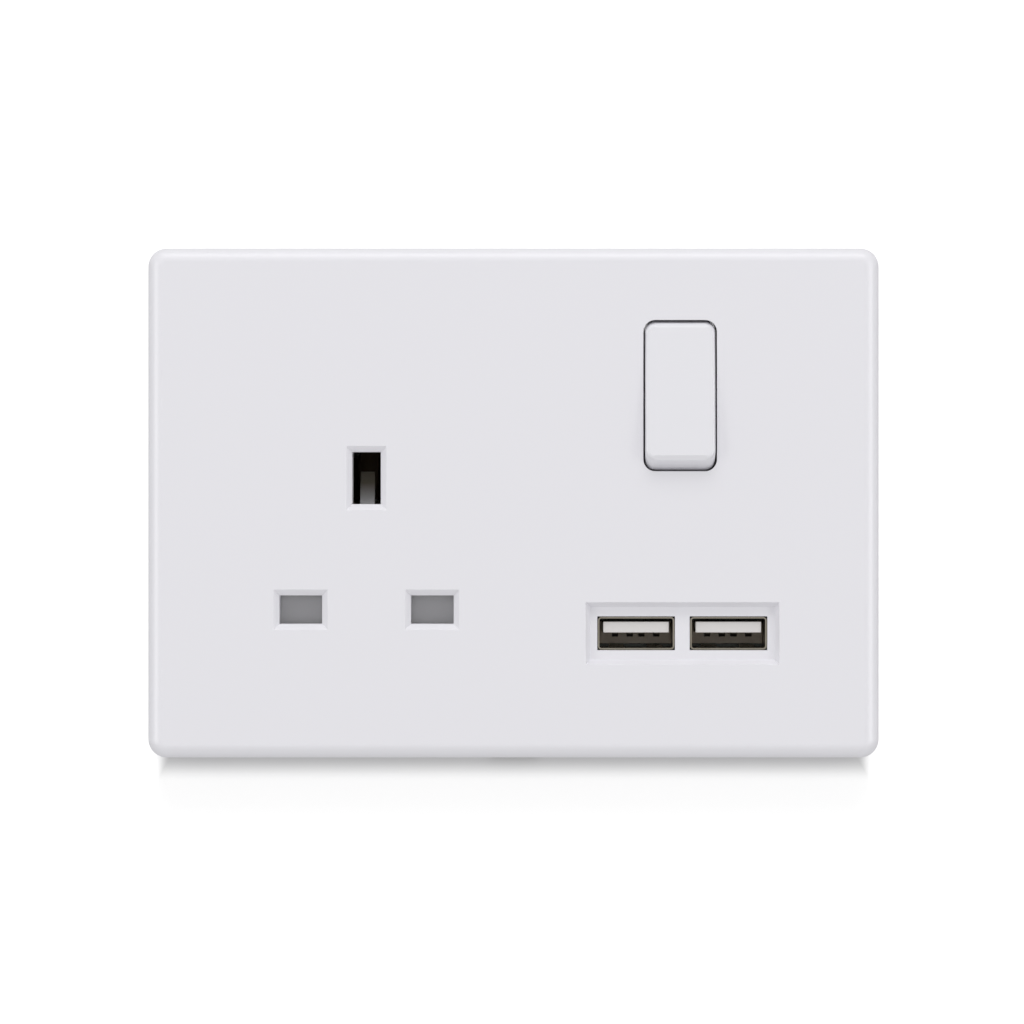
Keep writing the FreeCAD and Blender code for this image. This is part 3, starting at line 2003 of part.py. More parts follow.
def make_transformer():
    x, z = "core_x", "(core_z)"
    core = add_node("transformer_core")
    extrude(
        core,
        "yokes",
        f"{z} - core_height / 4",
        f"{z} + core_height / 4",
        rect(x, "board_back_y + core_depth / 2", "core_width", "core_depth"),
        plane="XY_Plane",
    )
    extrude(
        core,
        "window",
        f"{z} - core_height / 4",
        f"{z} + core_height / 4",
        rect(
            x,
            "board_back_y + core_depth / 2",
            "core_width * 0.8",
            "core_depth * 0.6",
        ),
        cut=True,
        plane="XY_Plane",
    )
    winding = add_node("transformer_winding")
    extrude(
        winding,
        "winding",
        f"{z} - core_height / 2",
        f"{z} + core_height / 2",
        rect(
            x,
            "board_back_y + core_depth / 2",
            "core_width * 0.8 - bearing_gap",
            "core_depth * 0.6 - bearing_gap",
            "core_depth / 8",
        ),
        plane="XY_Plane",
    )


def make_capacitor(name, x, z, radius, length):
    can = add_node(name)
    extrude(can, "can", "board_back_y", f"board_back_y + {length}", twelve_sided(x, z, radius))
    dress(
        can,
        "crimp",
        "PartDesign::Chamfer",
        f"{radius} / 6",
        lambda edge: lies_at(edge, "y", f"board_back_y + {length}"),
    )


def make_small_parts():
    make_capacitor(
        "input_capacitor",
        "input_cap_x",
        "can_low_z + input_cap_radius",
        "input_cap_radius",
        "input_cap_length",
    )
    make_capacitor(
        "output_capacitor",
        "output_cap_x",
        "can_low_z + output_cap_radius",
        "output_cap_radius",
        "output_cap_length",
    )
    rectifier = add_node("bridge_rectifier")
    extrude(
        rectifier,
        "package",
        "board_back_y",
        "board_back_y + rectifier_height",
        rect("core_x", "part_row_z", "3 * rectifier_height", "2 * rectifier_height"),
    )
    resistor = add_node("fuse_resistor")
    extrude(
        resistor,
        "body",
        "input_cap_x - resistor_length / 2",
        "input_cap_x + resistor_length / 2",
        circle("board_back_y + resistor_radius", "part_row_z", "resistor_radius"),
        plane="YZ_Plane",
    )


def make_lead(name, strap_x, z):
    """An insulated wire from the board, round one bend, to the front of a strap."""
    sides = 6
    start_x, end_x = value("lead_start_x"), value(f"{strap_x} - strap_width / 4")
    low, deep = value("board_back_y"), value("lead_depth")
    level, thick, turn = value(z), value("lead_radius"), value("lead_bend")
    start = FreeCAD.Vector(start_x, low, level)
    bend_start = FreeCAD.Vector(start_x, deep - turn, level)
    bend_end = FreeCAD.Vector(start_x - turn, deep, level)
    outward = turn * math.sin(math.pi / 4)
    bend_middle = bend_end + FreeCAD.Vector(outward, outward - turn, 0)
    path = Part.Wire(
        [
            Part.LineSegment(start, bend_start).toShape(),
            Part.Arc(bend_start, bend_middle, bend_end).toShape(),
            Part.LineSegment(bend_end, FreeCAD.Vector(end_x, deep, level)).toShape(),
        ]
    )
    turns = [2 * math.pi * (side + 0.5) / sides for side in range(sides)]
    corners = [
        start + FreeCAD.Vector(thick * math.cos(turned), 0, thick * math.sin(turned))
        for turned in turns
    ]
    section = Part.Face(Part.makePolygon(corners + corners[:1]))
    lead = doc.addObject("Part::Feature", name)
    lead.Label = name
    lead.Shape = path.makePipe(section)
    lead.Placement = FreeCAD.Placement()
    nodes.append(lead)
    missing = section.Area * path.Length - lead.Shape.Volume
    print(name, "bend", turn, "length", round(path.Length, 1), "short by", round(missing, 4))


def make_all():
    make_front_plate()
    make_mounting_frame()
    make_inner_cover()
    make_socket_base()
    make_shutter()
    make_shutter_spring()
    make_rocker()
    make_plunger()
    make_plunger_spring()
    make_moving_contact()
    make_neutral_contact()
    make_earth_contact()
    make_line_contact()
    make_line_feed()
    make_terminal("neutral_terminal", "neutral_terminal_x")
    make_terminal("earth_terminal", "socket_x")
    make_terminal("line_terminal", "line_terminal_x")
    make_terminal_screws()
    make_assembly_screws()
    make_case_screws()
    make_usb_case()
    make_usb_case_lid()
    make_usb_board()
    for side, x in port_columns():
        make_usb_shell(side, x)
        make_usb_tongue(side, x)
        make_usb_contacts(side, x)
    make_transformer()
    make_small_parts()
    make_lead("usb_line_lead", "line_strap_x", "lead_low_z")
    make_lead("usb_neutral_lead", "neutral_strap_x", "lead_high_z")


def check_and_write():
    doc.recompute()
    for item in doc.Objects:
        if any(mark in item.State for mark in ("Invalid", "Error")):
            raise RuntimeError(f"{item.Label} failed: {item.State}")
    os.makedirs("parts", exist_ok=True)
    for node in nodes:
        if node.Shape.isNull() or not node.Shape.isValid():
            raise RuntimeError(f"{node.Label} has no valid shape")
    for node in nodes:
        node.Shape.exportStep(f"parts/{node.Label}.step")
        print(node.Label, len(node.Shape.Solids), round(node.Shape.Volume, 2))


make_all()
check_and_write()
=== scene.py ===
import json
import math

import bmesh
import bpy
from bpy.props import FloatProperty, FloatVectorProperty, IntProperty, PointerProperty
from mathutils import Matrix, Vector

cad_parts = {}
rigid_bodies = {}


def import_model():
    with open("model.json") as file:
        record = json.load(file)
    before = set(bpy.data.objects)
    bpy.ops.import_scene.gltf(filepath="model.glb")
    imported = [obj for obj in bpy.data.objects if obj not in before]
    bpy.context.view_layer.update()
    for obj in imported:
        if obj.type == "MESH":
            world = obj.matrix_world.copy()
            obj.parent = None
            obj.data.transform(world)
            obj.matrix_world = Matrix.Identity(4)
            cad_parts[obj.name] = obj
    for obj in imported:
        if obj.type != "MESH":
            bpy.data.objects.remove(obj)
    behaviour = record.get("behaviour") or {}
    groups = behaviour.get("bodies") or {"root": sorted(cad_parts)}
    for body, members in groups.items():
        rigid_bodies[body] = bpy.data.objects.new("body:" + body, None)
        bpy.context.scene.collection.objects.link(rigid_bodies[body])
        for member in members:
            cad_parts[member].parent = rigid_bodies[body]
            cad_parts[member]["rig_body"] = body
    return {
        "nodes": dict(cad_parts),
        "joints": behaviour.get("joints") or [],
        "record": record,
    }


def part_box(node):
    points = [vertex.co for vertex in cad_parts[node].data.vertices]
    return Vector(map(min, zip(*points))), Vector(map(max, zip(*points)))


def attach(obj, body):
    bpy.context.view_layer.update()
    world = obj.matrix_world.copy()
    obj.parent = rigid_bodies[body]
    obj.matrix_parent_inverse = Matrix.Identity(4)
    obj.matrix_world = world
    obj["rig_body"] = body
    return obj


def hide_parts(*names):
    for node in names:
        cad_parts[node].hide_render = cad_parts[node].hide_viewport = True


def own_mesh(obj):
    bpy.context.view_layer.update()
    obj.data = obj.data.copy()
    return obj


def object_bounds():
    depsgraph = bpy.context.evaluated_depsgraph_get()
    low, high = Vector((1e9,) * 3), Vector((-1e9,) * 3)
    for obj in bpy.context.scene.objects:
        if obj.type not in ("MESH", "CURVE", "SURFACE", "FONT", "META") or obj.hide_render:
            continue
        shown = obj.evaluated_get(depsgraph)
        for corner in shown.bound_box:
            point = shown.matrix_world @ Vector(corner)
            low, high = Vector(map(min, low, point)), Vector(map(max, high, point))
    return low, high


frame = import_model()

bl_info = {
    "name": "Wall Socket Finish",
    "version": (1, 0, 0),
    "blender": (4, 5, 0),
    "location": "View3D > Sidebar > Socket",
    "description": "Finishes the pieces of a switched wall socket and sets its stage",
    "category": "Object",
}

MM = 0.001
CAD_BOX = [list(corner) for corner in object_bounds()]
JOINED_WITHIN = 2e-7
SHARP_OVER = math.radians(32)
AXIS_Y = Matrix.Rotation(math.radians(-90), 4, "X")
AXIS_X = Matrix.Rotation(math.radians(90), 4, "Y")
# The solids draw round wire with flat sides: these are a flat side's distance from the middle,
# as a share of a corner's, on square spring wire and on six-sided leads.
FLAT_WIRE = math.sqrt(0.5)
HEXAGON = math.cos(math.radians(30))


def colour(name, note, value):
    """A colour that the sidebar shows, in linear values."""
    return FloatVectorProperty(
        name=name, description=note, subtype="COLOR", size=3, min=0.0, max=1.0, default=value
    )


def length(name, note, millimetres):
    """A length in metres, given in millimetres."""
    return FloatProperty(
        name=name,
        description=note,
        subtype="DISTANCE",
        unit="LENGTH",
        min=0.0,
        default=millimetres * MM,
    )


def number(name, note, value):
    """A plain number that the sidebar shows."""
    return FloatProperty(name=name, description=note, default=value)


class SocketColours(bpy.types.PropertyGroup):
    cover: colour("Cover", "White plastic of the front plate", (0.786, 0.779, 0.816))
    # The rocker's white is a little darker than the cover's: painted shade that offsets the extra
    # light on its upturned face.
    rocker: colour("Rocker", "White plastic of the rocker and its plunger", (0.772, 0.768, 0.803))
    frame: colour("Frame", "Off-white plastic of the frame and inner cover", (0.62, 0.62, 0.60))
    base: colour("Base", "Pale grey plastic of the rear moulding", (0.50, 0.50, 0.48))
    shutter: colour("Shutter", "Grey plastic of the shutter", (0.50, 0.50, 0.505))
    # The deep shutter colour is painted shade: the wedge down in its slot, darkened as if in
    # shadow.
    shutter_painted_shade: colour("Deep shutter", "The shutter's wedge in its slot", (0.17, 0.15, 0.115))
    case: colour("Case", "Black plastic of the charger's case", (0.018, 0.018, 0.020))
    tongue: colour("Tongue", "Pale plastic inside the ports", (0.70, 0.68, 0.67))
    # The deep tongue colour is painted shade: the tongues' block down in a port, darkened and
    # warmed as if in shadow.
    tongue_deep: colour("Deep tongue", "The tongues' block down in a port", (0.54, 0.46, 0.365))
    board: colour("Board", "Solder mask of the circuit board", (0.030, 0.066, 0.030))
    brass: colour("Brass", "Pressed brass", (0.80, 0.58, 0.27))
    silver: colour("Contact faces", "Silvered contact metal", (0.86, 0.83, 0.76))
    steel: colour("Steel", "Zinc-plated steel", (0.66, 0.66, 0.64))
    # Brass darkened far below its own colour: painted shade of the clip down in the earth slot.
    dull_brass: colour("Dull brass", "Brass of the clip in the earth slot", (0.060, 0.045, 0.030))
    # Plated nickel, drawn darker and browner than it is: painted shade inside the ports.
    shell: colour("Shells", "Nickel-plated port shells", (0.25, 0.23, 0.19))
    ferrite: colour("Ferrite", "Core of the transformer", (0.05, 0.05, 0.055))
    tape: colour("Winding tape", "Tape round the transformer's winding", (0.72, 0.50, 0.06))
    can: colour("Capacitor sleeve", "Sleeves of the capacitors", (0.016, 0.018, 0.035))
    resin: colour("Resin", "Moulded resin of the rectifier", (0.02, 0.02, 0.02))
    lacquer: colour("Resistor lacquer", "Lacquer of the fusible resistor", (0.20, 0.30, 0.40))
    # Contact metal darkened far below its own colour: painted shade under the tongues.
    blades: colour("Port blades", "Contact blades under the tongues", (0.050, 0.045, 0.036))
    line: colour("Line lead", "Insulation of the line lead", (0.40, 0.025, 0.018))
    neutral: colour("Neutral lead", "Insulation of the neutral lead", (0.015, 0.015, 0.016))


class SocketSizes(bpy.types.PropertyGroup):
    cover_edge: length("Cover edge", "Round on the cover's sharp edges", 0.18)
    key_edge: length("Rocker edge", "Round on the rocker's sharp edges", 0.14)
    key_lip: length("Rocker lip", "Round between the rocker's face and its lips", 0.45)
    housing_edge: length("Housing edge", "Round on the moulded housings' edges", 0.16)
    strip_edge: length("Strip edge", "Round on the pressed strips' edges", 0.08)
    fine_edge: length("Fine edge", "Round on the smallest pieces' edges", 0.04)
    spring_wire: length("Spring wire", "Diameter of the springs' wire", 0.4)
    head_height: length("Head height", "Height of the screws' heads", 1.8)
    thread_pitch: length("Thread pitch", "Pitch of the screws' threads", 0.7)
    lead_bend: length("Lead bend", "Radius of the leads' bends", 3.0)


class SocketStage(bpy.types.PropertyGroup):
    lens: number("Lens", "Focal length in mm", 200.0)
    plate_pixels: number("Plate width", "Width of the plate in the picture, in pixels", 729.0)
    middle_across: number("Middle across", "The plate's middle in the picture, in pixels", 513.5)
    middle_down: number("Middle down", "The plate's middle in the picture, in pixels", 503.0)
    picture_side: IntProperty(
        name="Picture", description="Width and height of the picture in pixels", default=1024
    )
    key_power: number("Key light", "Power of the light above", 7.0)
    side_power: number("Side lights", "Power of each side light", 2.0)
    shine_power: number("Side shine", "Power of each side gleam", 6.0)
    room_light: number("Room", "Strength of the light all round", 0.74)
    wall_glow: number("Wall glow", "White added to the wall", 0.60)


def new_piece(name, mesh):
    """An object at the origin for a finished mesh."""
    piece = bpy.data.objects.new(name, mesh)
    bpy.context.scene.collection.objects.link(piece)
    return piece


def dress(piece, material, slot, body, *nodes):
    """Give a piece its material and the body that it rides on. Its slot is not used."""
    piece.data.materials.clear()
    piece.data.materials.append(material)
    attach(piece, body)
    if nodes:
        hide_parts(*nodes)


def body_of(node):
    """The name of the body that a solid belongs to."""
    return frame["nodes"][node]["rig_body"]


def slot_of(node):
    """The record's material slot of a solid."""
    return next(
        part["material_slot"] for part in frame["record"]["subparts"] if part["node"] == node
    )


def merged(node):
    """A solid's mesh with the doubled corners of its loose triangles merged."""
    shape = bmesh.new()
    shape.from_mesh(frame["nodes"][node].data)
    bmesh.ops.remove_doubles(shape, verts=shape.verts, dist=JOINED_WITHIN)
    return shape


def round_lips(shape, width):
    """Round the long blunt edges of a mesh that run along X."""
    shortest = 4 * MM
    least, most = math.radians(25), math.radians(60)
    lips = [
        edge
        for edge in shape.edges
        if abs(edge.verts[0].co.x - edge.verts[1].co.x) > shortest
        and least < edge.calc_face_angle(0.0) < most
    ]
    bmesh.ops.bevel(
        shape,
        geom=lips,
        affect="EDGES",
        offset=width,
        offset_type="OFFSET",
        segments=4,
        profile=0.5,
        material=-1,
        clamp_overlap=True,
    )


def soft_copy(node, edge, segments, sharp_over, lip=0.0):
    """A copy of a solid's mesh with merged corners, whose sharp edges get a small round."""
    flat_within = math.radians(0.4)
    shape = merged(node)
    bmesh.ops.dissolve_limit(
        shape, angle_limit=flat_within, verts=shape.verts, edges=shape.edges
    )
    if lip > 0:
        round_lips(shape, lip)
    piece = new_piece(node + "_finish", mesh_of(shape, node + "_finish", sharp_over))
    if edge > 0:
        rounding = piece.modifiers.new("soft_edges", "BEVEL")
        rounding.width = edge
        rounding.segments = segments
        rounding.limit_method = "ANGLE"
        rounding.angle_limit = sharp_over
        rounding.use_clamp_overlap = True
    flattening = piece.modifiers.new("flat_faces", "WEIGHTED_NORMAL")
    flattening.keep_sharp = True
    return piece


def refinish(node, edge, material, segments=2, sharp_over=SHARP_OVER, lip=0.0):
    """Replace a solid by its soft-edged copy in the same place."""
    piece = soft_copy(node, edge, segments, sharp_over, lip)
    dress(piece, material, slot_of(node), body_of(node), node)


def islands(node):
    """The box of each separate solid of a node, as lowest and highest corner."""
    shape = merged(node)
    left = set(shape.verts)
    boxes = []
    while left:
        group = [left.pop()]
        for vert in group:
            for edge in vert.link_edges:
                other = edge.other_vert(vert)
                if other in left:
                    left.remove(other)
                    group.append(other)
        corners = [vert.co for vert in group]
        boxes.append(
            (
                Vector([min(corner[axis] for corner in corners) for axis in range(3)]),
                Vector([max(corner[axis] for corner in corners) for axis in range(3)]),
            )
        )
    shape.free()
    return sorted(boxes, key=lambda box: (round(box[0].x, 4), round(box[0].z, 4)))


def spun(section, steps=48):
    """A turned shape about the Z axis, from (radius, height) corners of its half section."""
    shape = bmesh.new()
    corners = [shape.verts.new((radius, 0.0, height)) for radius, height in section]
    edges = [shape.edges.new(pair) for pair in zip(corners, corners[1:])]
    bmesh.ops.spin(
        shape,
        geom=corners + edges,
        cent=(0, 0, 0),
        axis=(0, 0, 1),
        angle=2 * math.pi,
        steps=steps,
        use_merge=True,
        use_duplicate=False,
    )
    bmesh.ops.remove_doubles(shape, verts=shape.verts, dist=1e-8)
    bmesh.ops.recalc_face_normals(shape, faces=shape.faces)
    return shape


def mesh_of(shape, name, sharp_over=SHARP_OVER):
    """A smooth-shaded mesh, sharp where its faces meet steeply. The shape is freed."""
    mesh = bpy.data.meshes.new(name)
    shape.to_mesh(mesh)
    shape.free()
    mesh.shade_smooth()
    mesh.set_sharp_from_angle(angle=sharp_over)
    return mesh


def arc(radius, start, end, count, middle=(0.0, 0.0)):
    """Points on an arc, as (across, along), from one angle in degrees to another."""
    return [
        (
            middle[0] + radius * math.cos(math.radians(start + (end - start) * step / count)),
            middle[1] + radius * math.sin(math.radians(start + (end - start) * step / count)),
        )
        for step in range(count + 1)
    ]


# Shared surface effects


def effect(name, inputs, outputs):
    """An empty node group with named inputs and outputs, and its two ends."""
    tree = bpy.data.node_groups.new(name, "ShaderNodeTree")
    for title, kind, default in inputs:
        socket = tree.interface.new_socket(name=title, in_out="INPUT", socket_type=kind)
        socket.default_value = default
    for title, kind in outputs:
        tree.interface.new_socket(name=title, in_out="OUTPUT", socket_type=kind)
    return tree, tree.nodes.new("NodeGroupInput"), tree.nodes.new("NodeGroupOutput")


def add(tree, kind, links=(), **settings):
    """Add a node, set its fields, and link or fill its inputs."""
    node = tree.nodes.new(kind)
    for field, setting in settings.items():
        setattr(node, field, setting)
    for socket, source in dict(links).items():
        if isinstance(source, bpy.types.NodeSocket):
            tree.links.new(source, node.inputs[socket])
        else:
            node.inputs[socket].default_value = source
    return node


def noise(tree, point, scale, detail=2.0, roughness=0.5):
    """A cloudy value from 0 to 1 that changes over the surface."""
    return add(
        tree,
        "ShaderNodeTexNoise",
        {"Vector": point, "Scale": scale, "Detail": detail, "Roughness": roughness},
    ).outputs["Fac"]


def spread(tree, source, low, high):
    """Bring a value from 0..1 to low..high."""
    return add(
        tree, "ShaderNodeMapRange", {"Value": source, "To Min": low, "To Max": high}
    ).outputs["Result"]


def maths(tree, operation, first, second):
    """One sum on two values."""
    return add(tree, "ShaderNodeMath", {0: first, 1: second}, operation=operation).outputs[0]


def mixed(tree, factor, first, second):
    """A colour between two others."""
    node = tree.nodes.new("ShaderNodeMix")
    node.data_type = "RGBA"
    for socket, source in ((0, factor), (6, first), (7, second)):
        if isinstance(source, bpy.types.NodeSocket):
            tree.links.new(source, node.inputs[socket])
        else:
            node.inputs[socket].default_value = source
    return node.outputs[2]


def make_moulded_skin():
    """Moulded plastic: a faint cloudiness in the colour and the fine texture of the tool."""
    tree, start, end = effect(
        "moulded_skin",
        [
            ("Colour", "NodeSocketColor", (0.8, 0.8, 0.8, 1)),
            ("Cloud Colour", "NodeSocketColor", (0.7, 0.7, 0.7, 1)),
            ("Cloud", "NodeSocketFloat", 0.3),
            ("Grain Scale", "NodeSocketFloat", 2500.0),
            ("Roughness", "NodeSocketFloat", 0.35),
        ],
        [
            ("Colour", "NodeSocketColor"),
            ("Roughness", "NodeSocketFloat"),
            ("Height", "NodeSocketFloat"),
        ],
    )
    point = add(tree, "ShaderNodeTexCoord").outputs["Object"]
    cloud = noise(tree, point, 38.0, 3.0)
    grain = noise(tree, point, start.outputs["Grain Scale"], 2.0)
    amount = maths(tree, "MULTIPLY", cloud, start.outputs["Cloud"])
    tinted = mixed(tree, amount, start.outputs["Colour"], start.outputs["Cloud Colour"])
    uneven = spread(tree, noise(tree, point, 160.0, 4.0), -0.05, 0.05)
    rough = maths(tree, "ADD", start.outputs["Roughness"], uneven)
    tree.links.new(tinted, end.inputs["Colour"])
    tree.links.new(rough, end.inputs["Roughness"])
    tree.links.new(grain, end.inputs["Height"])


def make_pressed_metal():
    """Rolled and pressed metal: streaks along the strip, and a patchy tarnish."""
    tree, start, end = effect(
        "pressed_metal",
        [
            ("Colour", "NodeSocketColor", (0.8, 0.6, 0.3, 1)),
            ("Tarnish Colour", "NodeSocketColor", (0.3, 0.2, 0.1, 1)),
            ("Tarnish", "NodeSocketFloat", 0.35),
            ("Roughness", "NodeSocketFloat", 0.3),
        ],
        [
            ("Colour", "NodeSocketColor"),
            ("Roughness", "NodeSocketFloat"),
            ("Height", "NodeSocketFloat"),
        ],
    )
    point = add(tree, "ShaderNodeTexCoord").outputs["Object"]
    along = add(
        tree, "ShaderNodeMapping", {"Vector": point, "Scale": (900.0, 900.0, 60.0)}
    ).outputs["Vector"]
    streaks = noise(tree, along, 3.0, 3.0)
    patches = noise(tree, point, 190.0, 4.0, 0.6)
    masked = add(
        tree,
        "ShaderNodeMapRange",
        {"Value": patches, "From Min": 0.45, "From Max": 0.75},
    ).outputs["Result"]
    amount = maths(tree, "MULTIPLY", masked, start.outputs["Tarnish"])
    tinted = mixed(tree, amount, start.outputs["Colour"], start.outputs["Tarnish Colour"])
    uneven = spread(tree, streaks, -0.08, 0.10)
    rough = maths(tree, "ADD", start.outputs["Roughness"], uneven)
    tree.links.new(tinted, end.inputs["Colour"])
    tree.links.new(rough, end.inputs["Roughness"])
    tree.links.new(streaks, end.inputs["Height"])


def surface(name, group, values, relief, metallic=0.0):
    """Make a material whose colour, roughness and fine relief come from a shared effect."""
    material = bpy.data.materials.new(name)
    material.use_nodes = True
    tree = material.node_tree
    shader = tree.nodes["Principled BSDF"]
    node = tree.nodes.new("ShaderNodeGroup")
    node.node_tree = bpy.data.node_groups[group]
    for title, value in values.items():
        node.inputs[title].default_value = value
    tree.links.new(node.outputs["Colour"], shader.inputs["Base Color"])
    tree.links.new(node.outputs["Roughness"], shader.inputs["Roughness"])
    bump = tree.nodes.new("ShaderNodeBump")
    bump.inputs["Strength"].default_value = 0.5
    bump.inputs["Distance"].default_value = relief
    tree.links.new(node.outputs["Height"], bump.inputs["Height"])
    tree.links.new(bump.outputs["Normal"], shader.inputs["Normal"])
    shader.inputs["Metallic"].default_value = metallic


def plastic(name, tone, roughness, grain, relief, cloud, depth):
    """Make a moulded plastic of one colour, with clouds of that colour times depth."""
    values = {
        "Colour": (*tone, 1),
        "Cloud Colour": (*(part * depth for part in tone), 1),
        "Cloud": cloud,
        "Grain Scale": grain,
        "Roughness": roughness,
    }
    surface(name, "moulded_skin", values, relief)


def metal(name, tone, roughness, tarnish):
    """Make a pressed or plated metal of one colour, with a darker and redder tarnish."""
    relief = 3e-6
    darker = 0.45, 0.38, 0.32
    values = {
        "Colour": (*tone, 1),
        "Tarnish Colour": (*(part * share for part, share in zip(tone, darker)), 1),
        "Tarnish": tarnish,
        "Roughness": roughness,
    }
    surface(name, "pressed_metal", values, relief, metallic=1.0)


def paint_shade_with_depth(material, near, deep, start, stop):
    """Let a material's colour go over from one to another along Y: painted shade deeper in."""
    tree = material.node_tree
    group = next(node for node in tree.nodes if node.type == "GROUP")
    point = add(tree, "ShaderNodeTexCoord").outputs["Object"]
    along = add(tree, "ShaderNodeSeparateXYZ", {"Vector": point}).outputs["Y"]
    amount = add(
        tree, "ShaderNodeMapRange", {"Value": along, "From Min": start, "From Max": stop}
    ).outputs["Result"]
    tinted = mixed(tree, amount, (*near, 1), (*deep, 1))
    for title in ("Colour", "Cloud Colour"):
        tree.links.new(tinted, group.inputs[title])


# Turned and wound pieces


def corner_radius(low, high):
    """The radius at the corners of a twelve-sided solid, from its box."""
    return (high.x - low.x) / 2 / math.cos(math.radians(15))


def wound_wire(radius, wire, rise, turns, steps_a_turn=28, sides=10):
    """A wire wound about the Z axis from height 0, with its end turns lying closer."""
    shape = bmesh.new()
    ring = bmesh.ops.create_circle(shape, cap_ends=False, segments=sides, radius=wire / 2)
    upright = Matrix.Translation((radius, 0, 0)) @ Matrix.Rotation(math.radians(90), 4, "X")
    bmesh.ops.transform(shape, matrix=upright, verts=ring["verts"])
    first = list(shape.edges)
    last = list(shape.verts) + list(shape.edges)
    close_rise = 1.3 * wire
    open_rise = rise - 2 * close_rise
    for part_turns, part_rise in ((1, close_rise), (turns - 2, open_rise), (1, close_rise)):
        steps = round(part_turns * steps_a_turn)
        last = bmesh.ops.spin(
            shape,
            geom=last,
            cent=(0, 0, 0),
            axis=(0, 0, 1),
            dvec=(0, 0, part_rise / steps),
            angle=2 * math.pi * part_turns,
            steps=steps,
            use_duplicate=False,
        )["geom_last"]
    ends = [item for item in last if isinstance(item, bmesh.types.BMEdge)]
    bmesh.ops.contextual_create(shape, geom=first)
    bmesh.ops.contextual_create(shape, geom=ends)
    bmesh.ops.recalc_face_normals(shape, faces=shape.faces)
    return shape


def cross_recess(size, depth):
    """The tapered cross that a driver fits, as a closed shape about the Z axis."""
    shape = bmesh.new()
    for turn in (0, 90):
        arm = bmesh.ops.create_cube(shape, size=1.0)["verts"]
        scaled = Matrix.Diagonal((size, size / 4.5, 2 * depth, 1))
        bmesh.ops.transform(shape, matrix=scaled, verts=arm)
        for vert in arm:
            if vert.co.z < 0:
                vert.co.x *= 0.45
                vert.co.y *= 0.6
        bmesh.ops.rotate(
            shape, cent=(0, 0, 0), matrix=Matrix.Rotation(math.radians(turn), 3, "Z"), verts=arm
        )
    return shape


def screw_shape(head_radius, head_height, shank_radius, reach, pitch):
    """A pan-head screw about the Z axis, its seat at height 0, with a thread on its shank."""
    dome = head_height * 0.45
    across = (head_radius**2 + dome**2) / (2 * dome)
    half = math.degrees(math.asin(head_radius / across))
    section = arc(across, 90, 90 - half, 6, (0, head_height - across))
    section += [(head_radius, 0), (shank_radius, 0)]
    depth = 0.12 * shank_radius
    height = -pitch
    while height > -reach + 2 * pitch:
        section += [
            (shank_radius, height),
            (shank_radius - depth, height - pitch / 2),
        ]
        height -= pitch
    section += [(shank_radius * 0.8, -reach + pitch / 2)]
    section += [(shank_radius * 0.55, -reach), (0, -reach)]
    body = new_piece("screw_blank", mesh_of(spun(section, 36), "screw_blank"))
    recess = cross_recess(head_radius * 1.15, head_height * 0.55)
    bmesh.ops.translate(recess, vec=(0, 0, head_height), verts=recess.verts)
    cutter = new_piece("driver_cut", mesh_of(recess, "driver_cut"))
    cut = body.modifiers.new("recess", "BOOLEAN")
    cut.operation = "DIFFERENCE"
    cut.solver = "EXACT"
    cut.use_self = True
    cut.object = cutter
    bpy.context.view_layer.update()
    done = body.evaluated_get(bpy.context.evaluated_depsgraph_get())
    shape = bmesh.new()
    shape.from_mesh(done.to_mesh())
    done.to_mesh_clear()
    for spent in (body, cutter):
        bpy.data.meshes.remove(spent.data)
    return shape


def join_copies(shape, places, name):
    """One mesh of copies of a shape, each at its own place. The shape is freed."""
    single = mesh_of(shape, name + "_single")
    whole = bmesh.new()
    for place in places:
        before = set(whole.verts)
        whole.from_mesh(single)
        bmesh.ops.transform(
            whole, matrix=place, verts=[vert for vert in whole.verts if vert not in before]
        )
    bpy.data.meshes.remove(single)
    return new_piece(name, mesh_of(whole, name))


# Steps


# Name, colour, roughness, grain a metre, relief in metres, cloudiness, depth of the clouds
PLASTICS = (
    ("cover_gloss", "cover", 0.34, 1800.0, 1.2e-6, 0.16, 0.97),
    ("rocker_gloss", "rocker", 0.30, 1800.0, 1.0e-6, 0.12, 0.98),
    ("frame_satin", "frame", 0.48, 1500.0, 5e-6, 0.3, 0.9),
    ("base_satin", "base", 0.50, 1400.0, 6e-6, 0.5, 0.85),
    ("shutter_satin", "shutter", 0.45, 1500.0, 4e-6, 0.25, 0.93),
    ("case_satin", "case", 0.42, 1200.0, 7e-6, 0.5, 1.6),
    ("tongue_gloss", "tongue", 0.35, 2500.0, 1e-6, 0.2, 0.94),
    ("board_mask", "board", 0.28, 700.0, 4e-6, 0.6, 0.6),
    ("ferrite_dull", "ferrite", 0.62, 900.0, 8e-6, 0.5, 1.6),
    ("winding_tape", "tape", 0.3, 700.0, 5e-6, 0.4, 0.8),
    ("can_sleeve", "can", 0.3, 1500.0, 1e-6, 0.4, 1.6),
    ("black_resin", "resin", 0.5, 1500.0, 4e-6, 0.4, 1.6),
    ("resistor_coat", "lacquer", 0.28, 1500.0, 1e-6, 0.3, 0.8),
    ("line_sleeve", "line", 0.33, 2000.0, 1e-6, 0.3, 0.8),
    ("neutral_sleeve", "neutral", 0.33, 2000.0, 1e-6, 0.3, 1.5),
)
# Name, colour, roughness, tarnish
METALS = (
    ("brass_strip", "brass", 0.30, 0.45),
    # Brass darkened as painted shade for the earth clip.
    ("dull_brass", "dull_brass", 0.50, 0.45),
    ("contact_face", "silver", 0.26, 0.35),
    # The blades' dark metal is painted shade under the tongues.
    ("blade_face", "blades", 0.45, 0.35),
    ("spring_wire", "steel", 0.24, 0.25),
    ("zinc_plate", "steel", 0.32, 0.35),
    # The shells' dark plating is partly painted shade inside the ports.
    ("shell_plate", "shell", 0.28, 0.30),
)
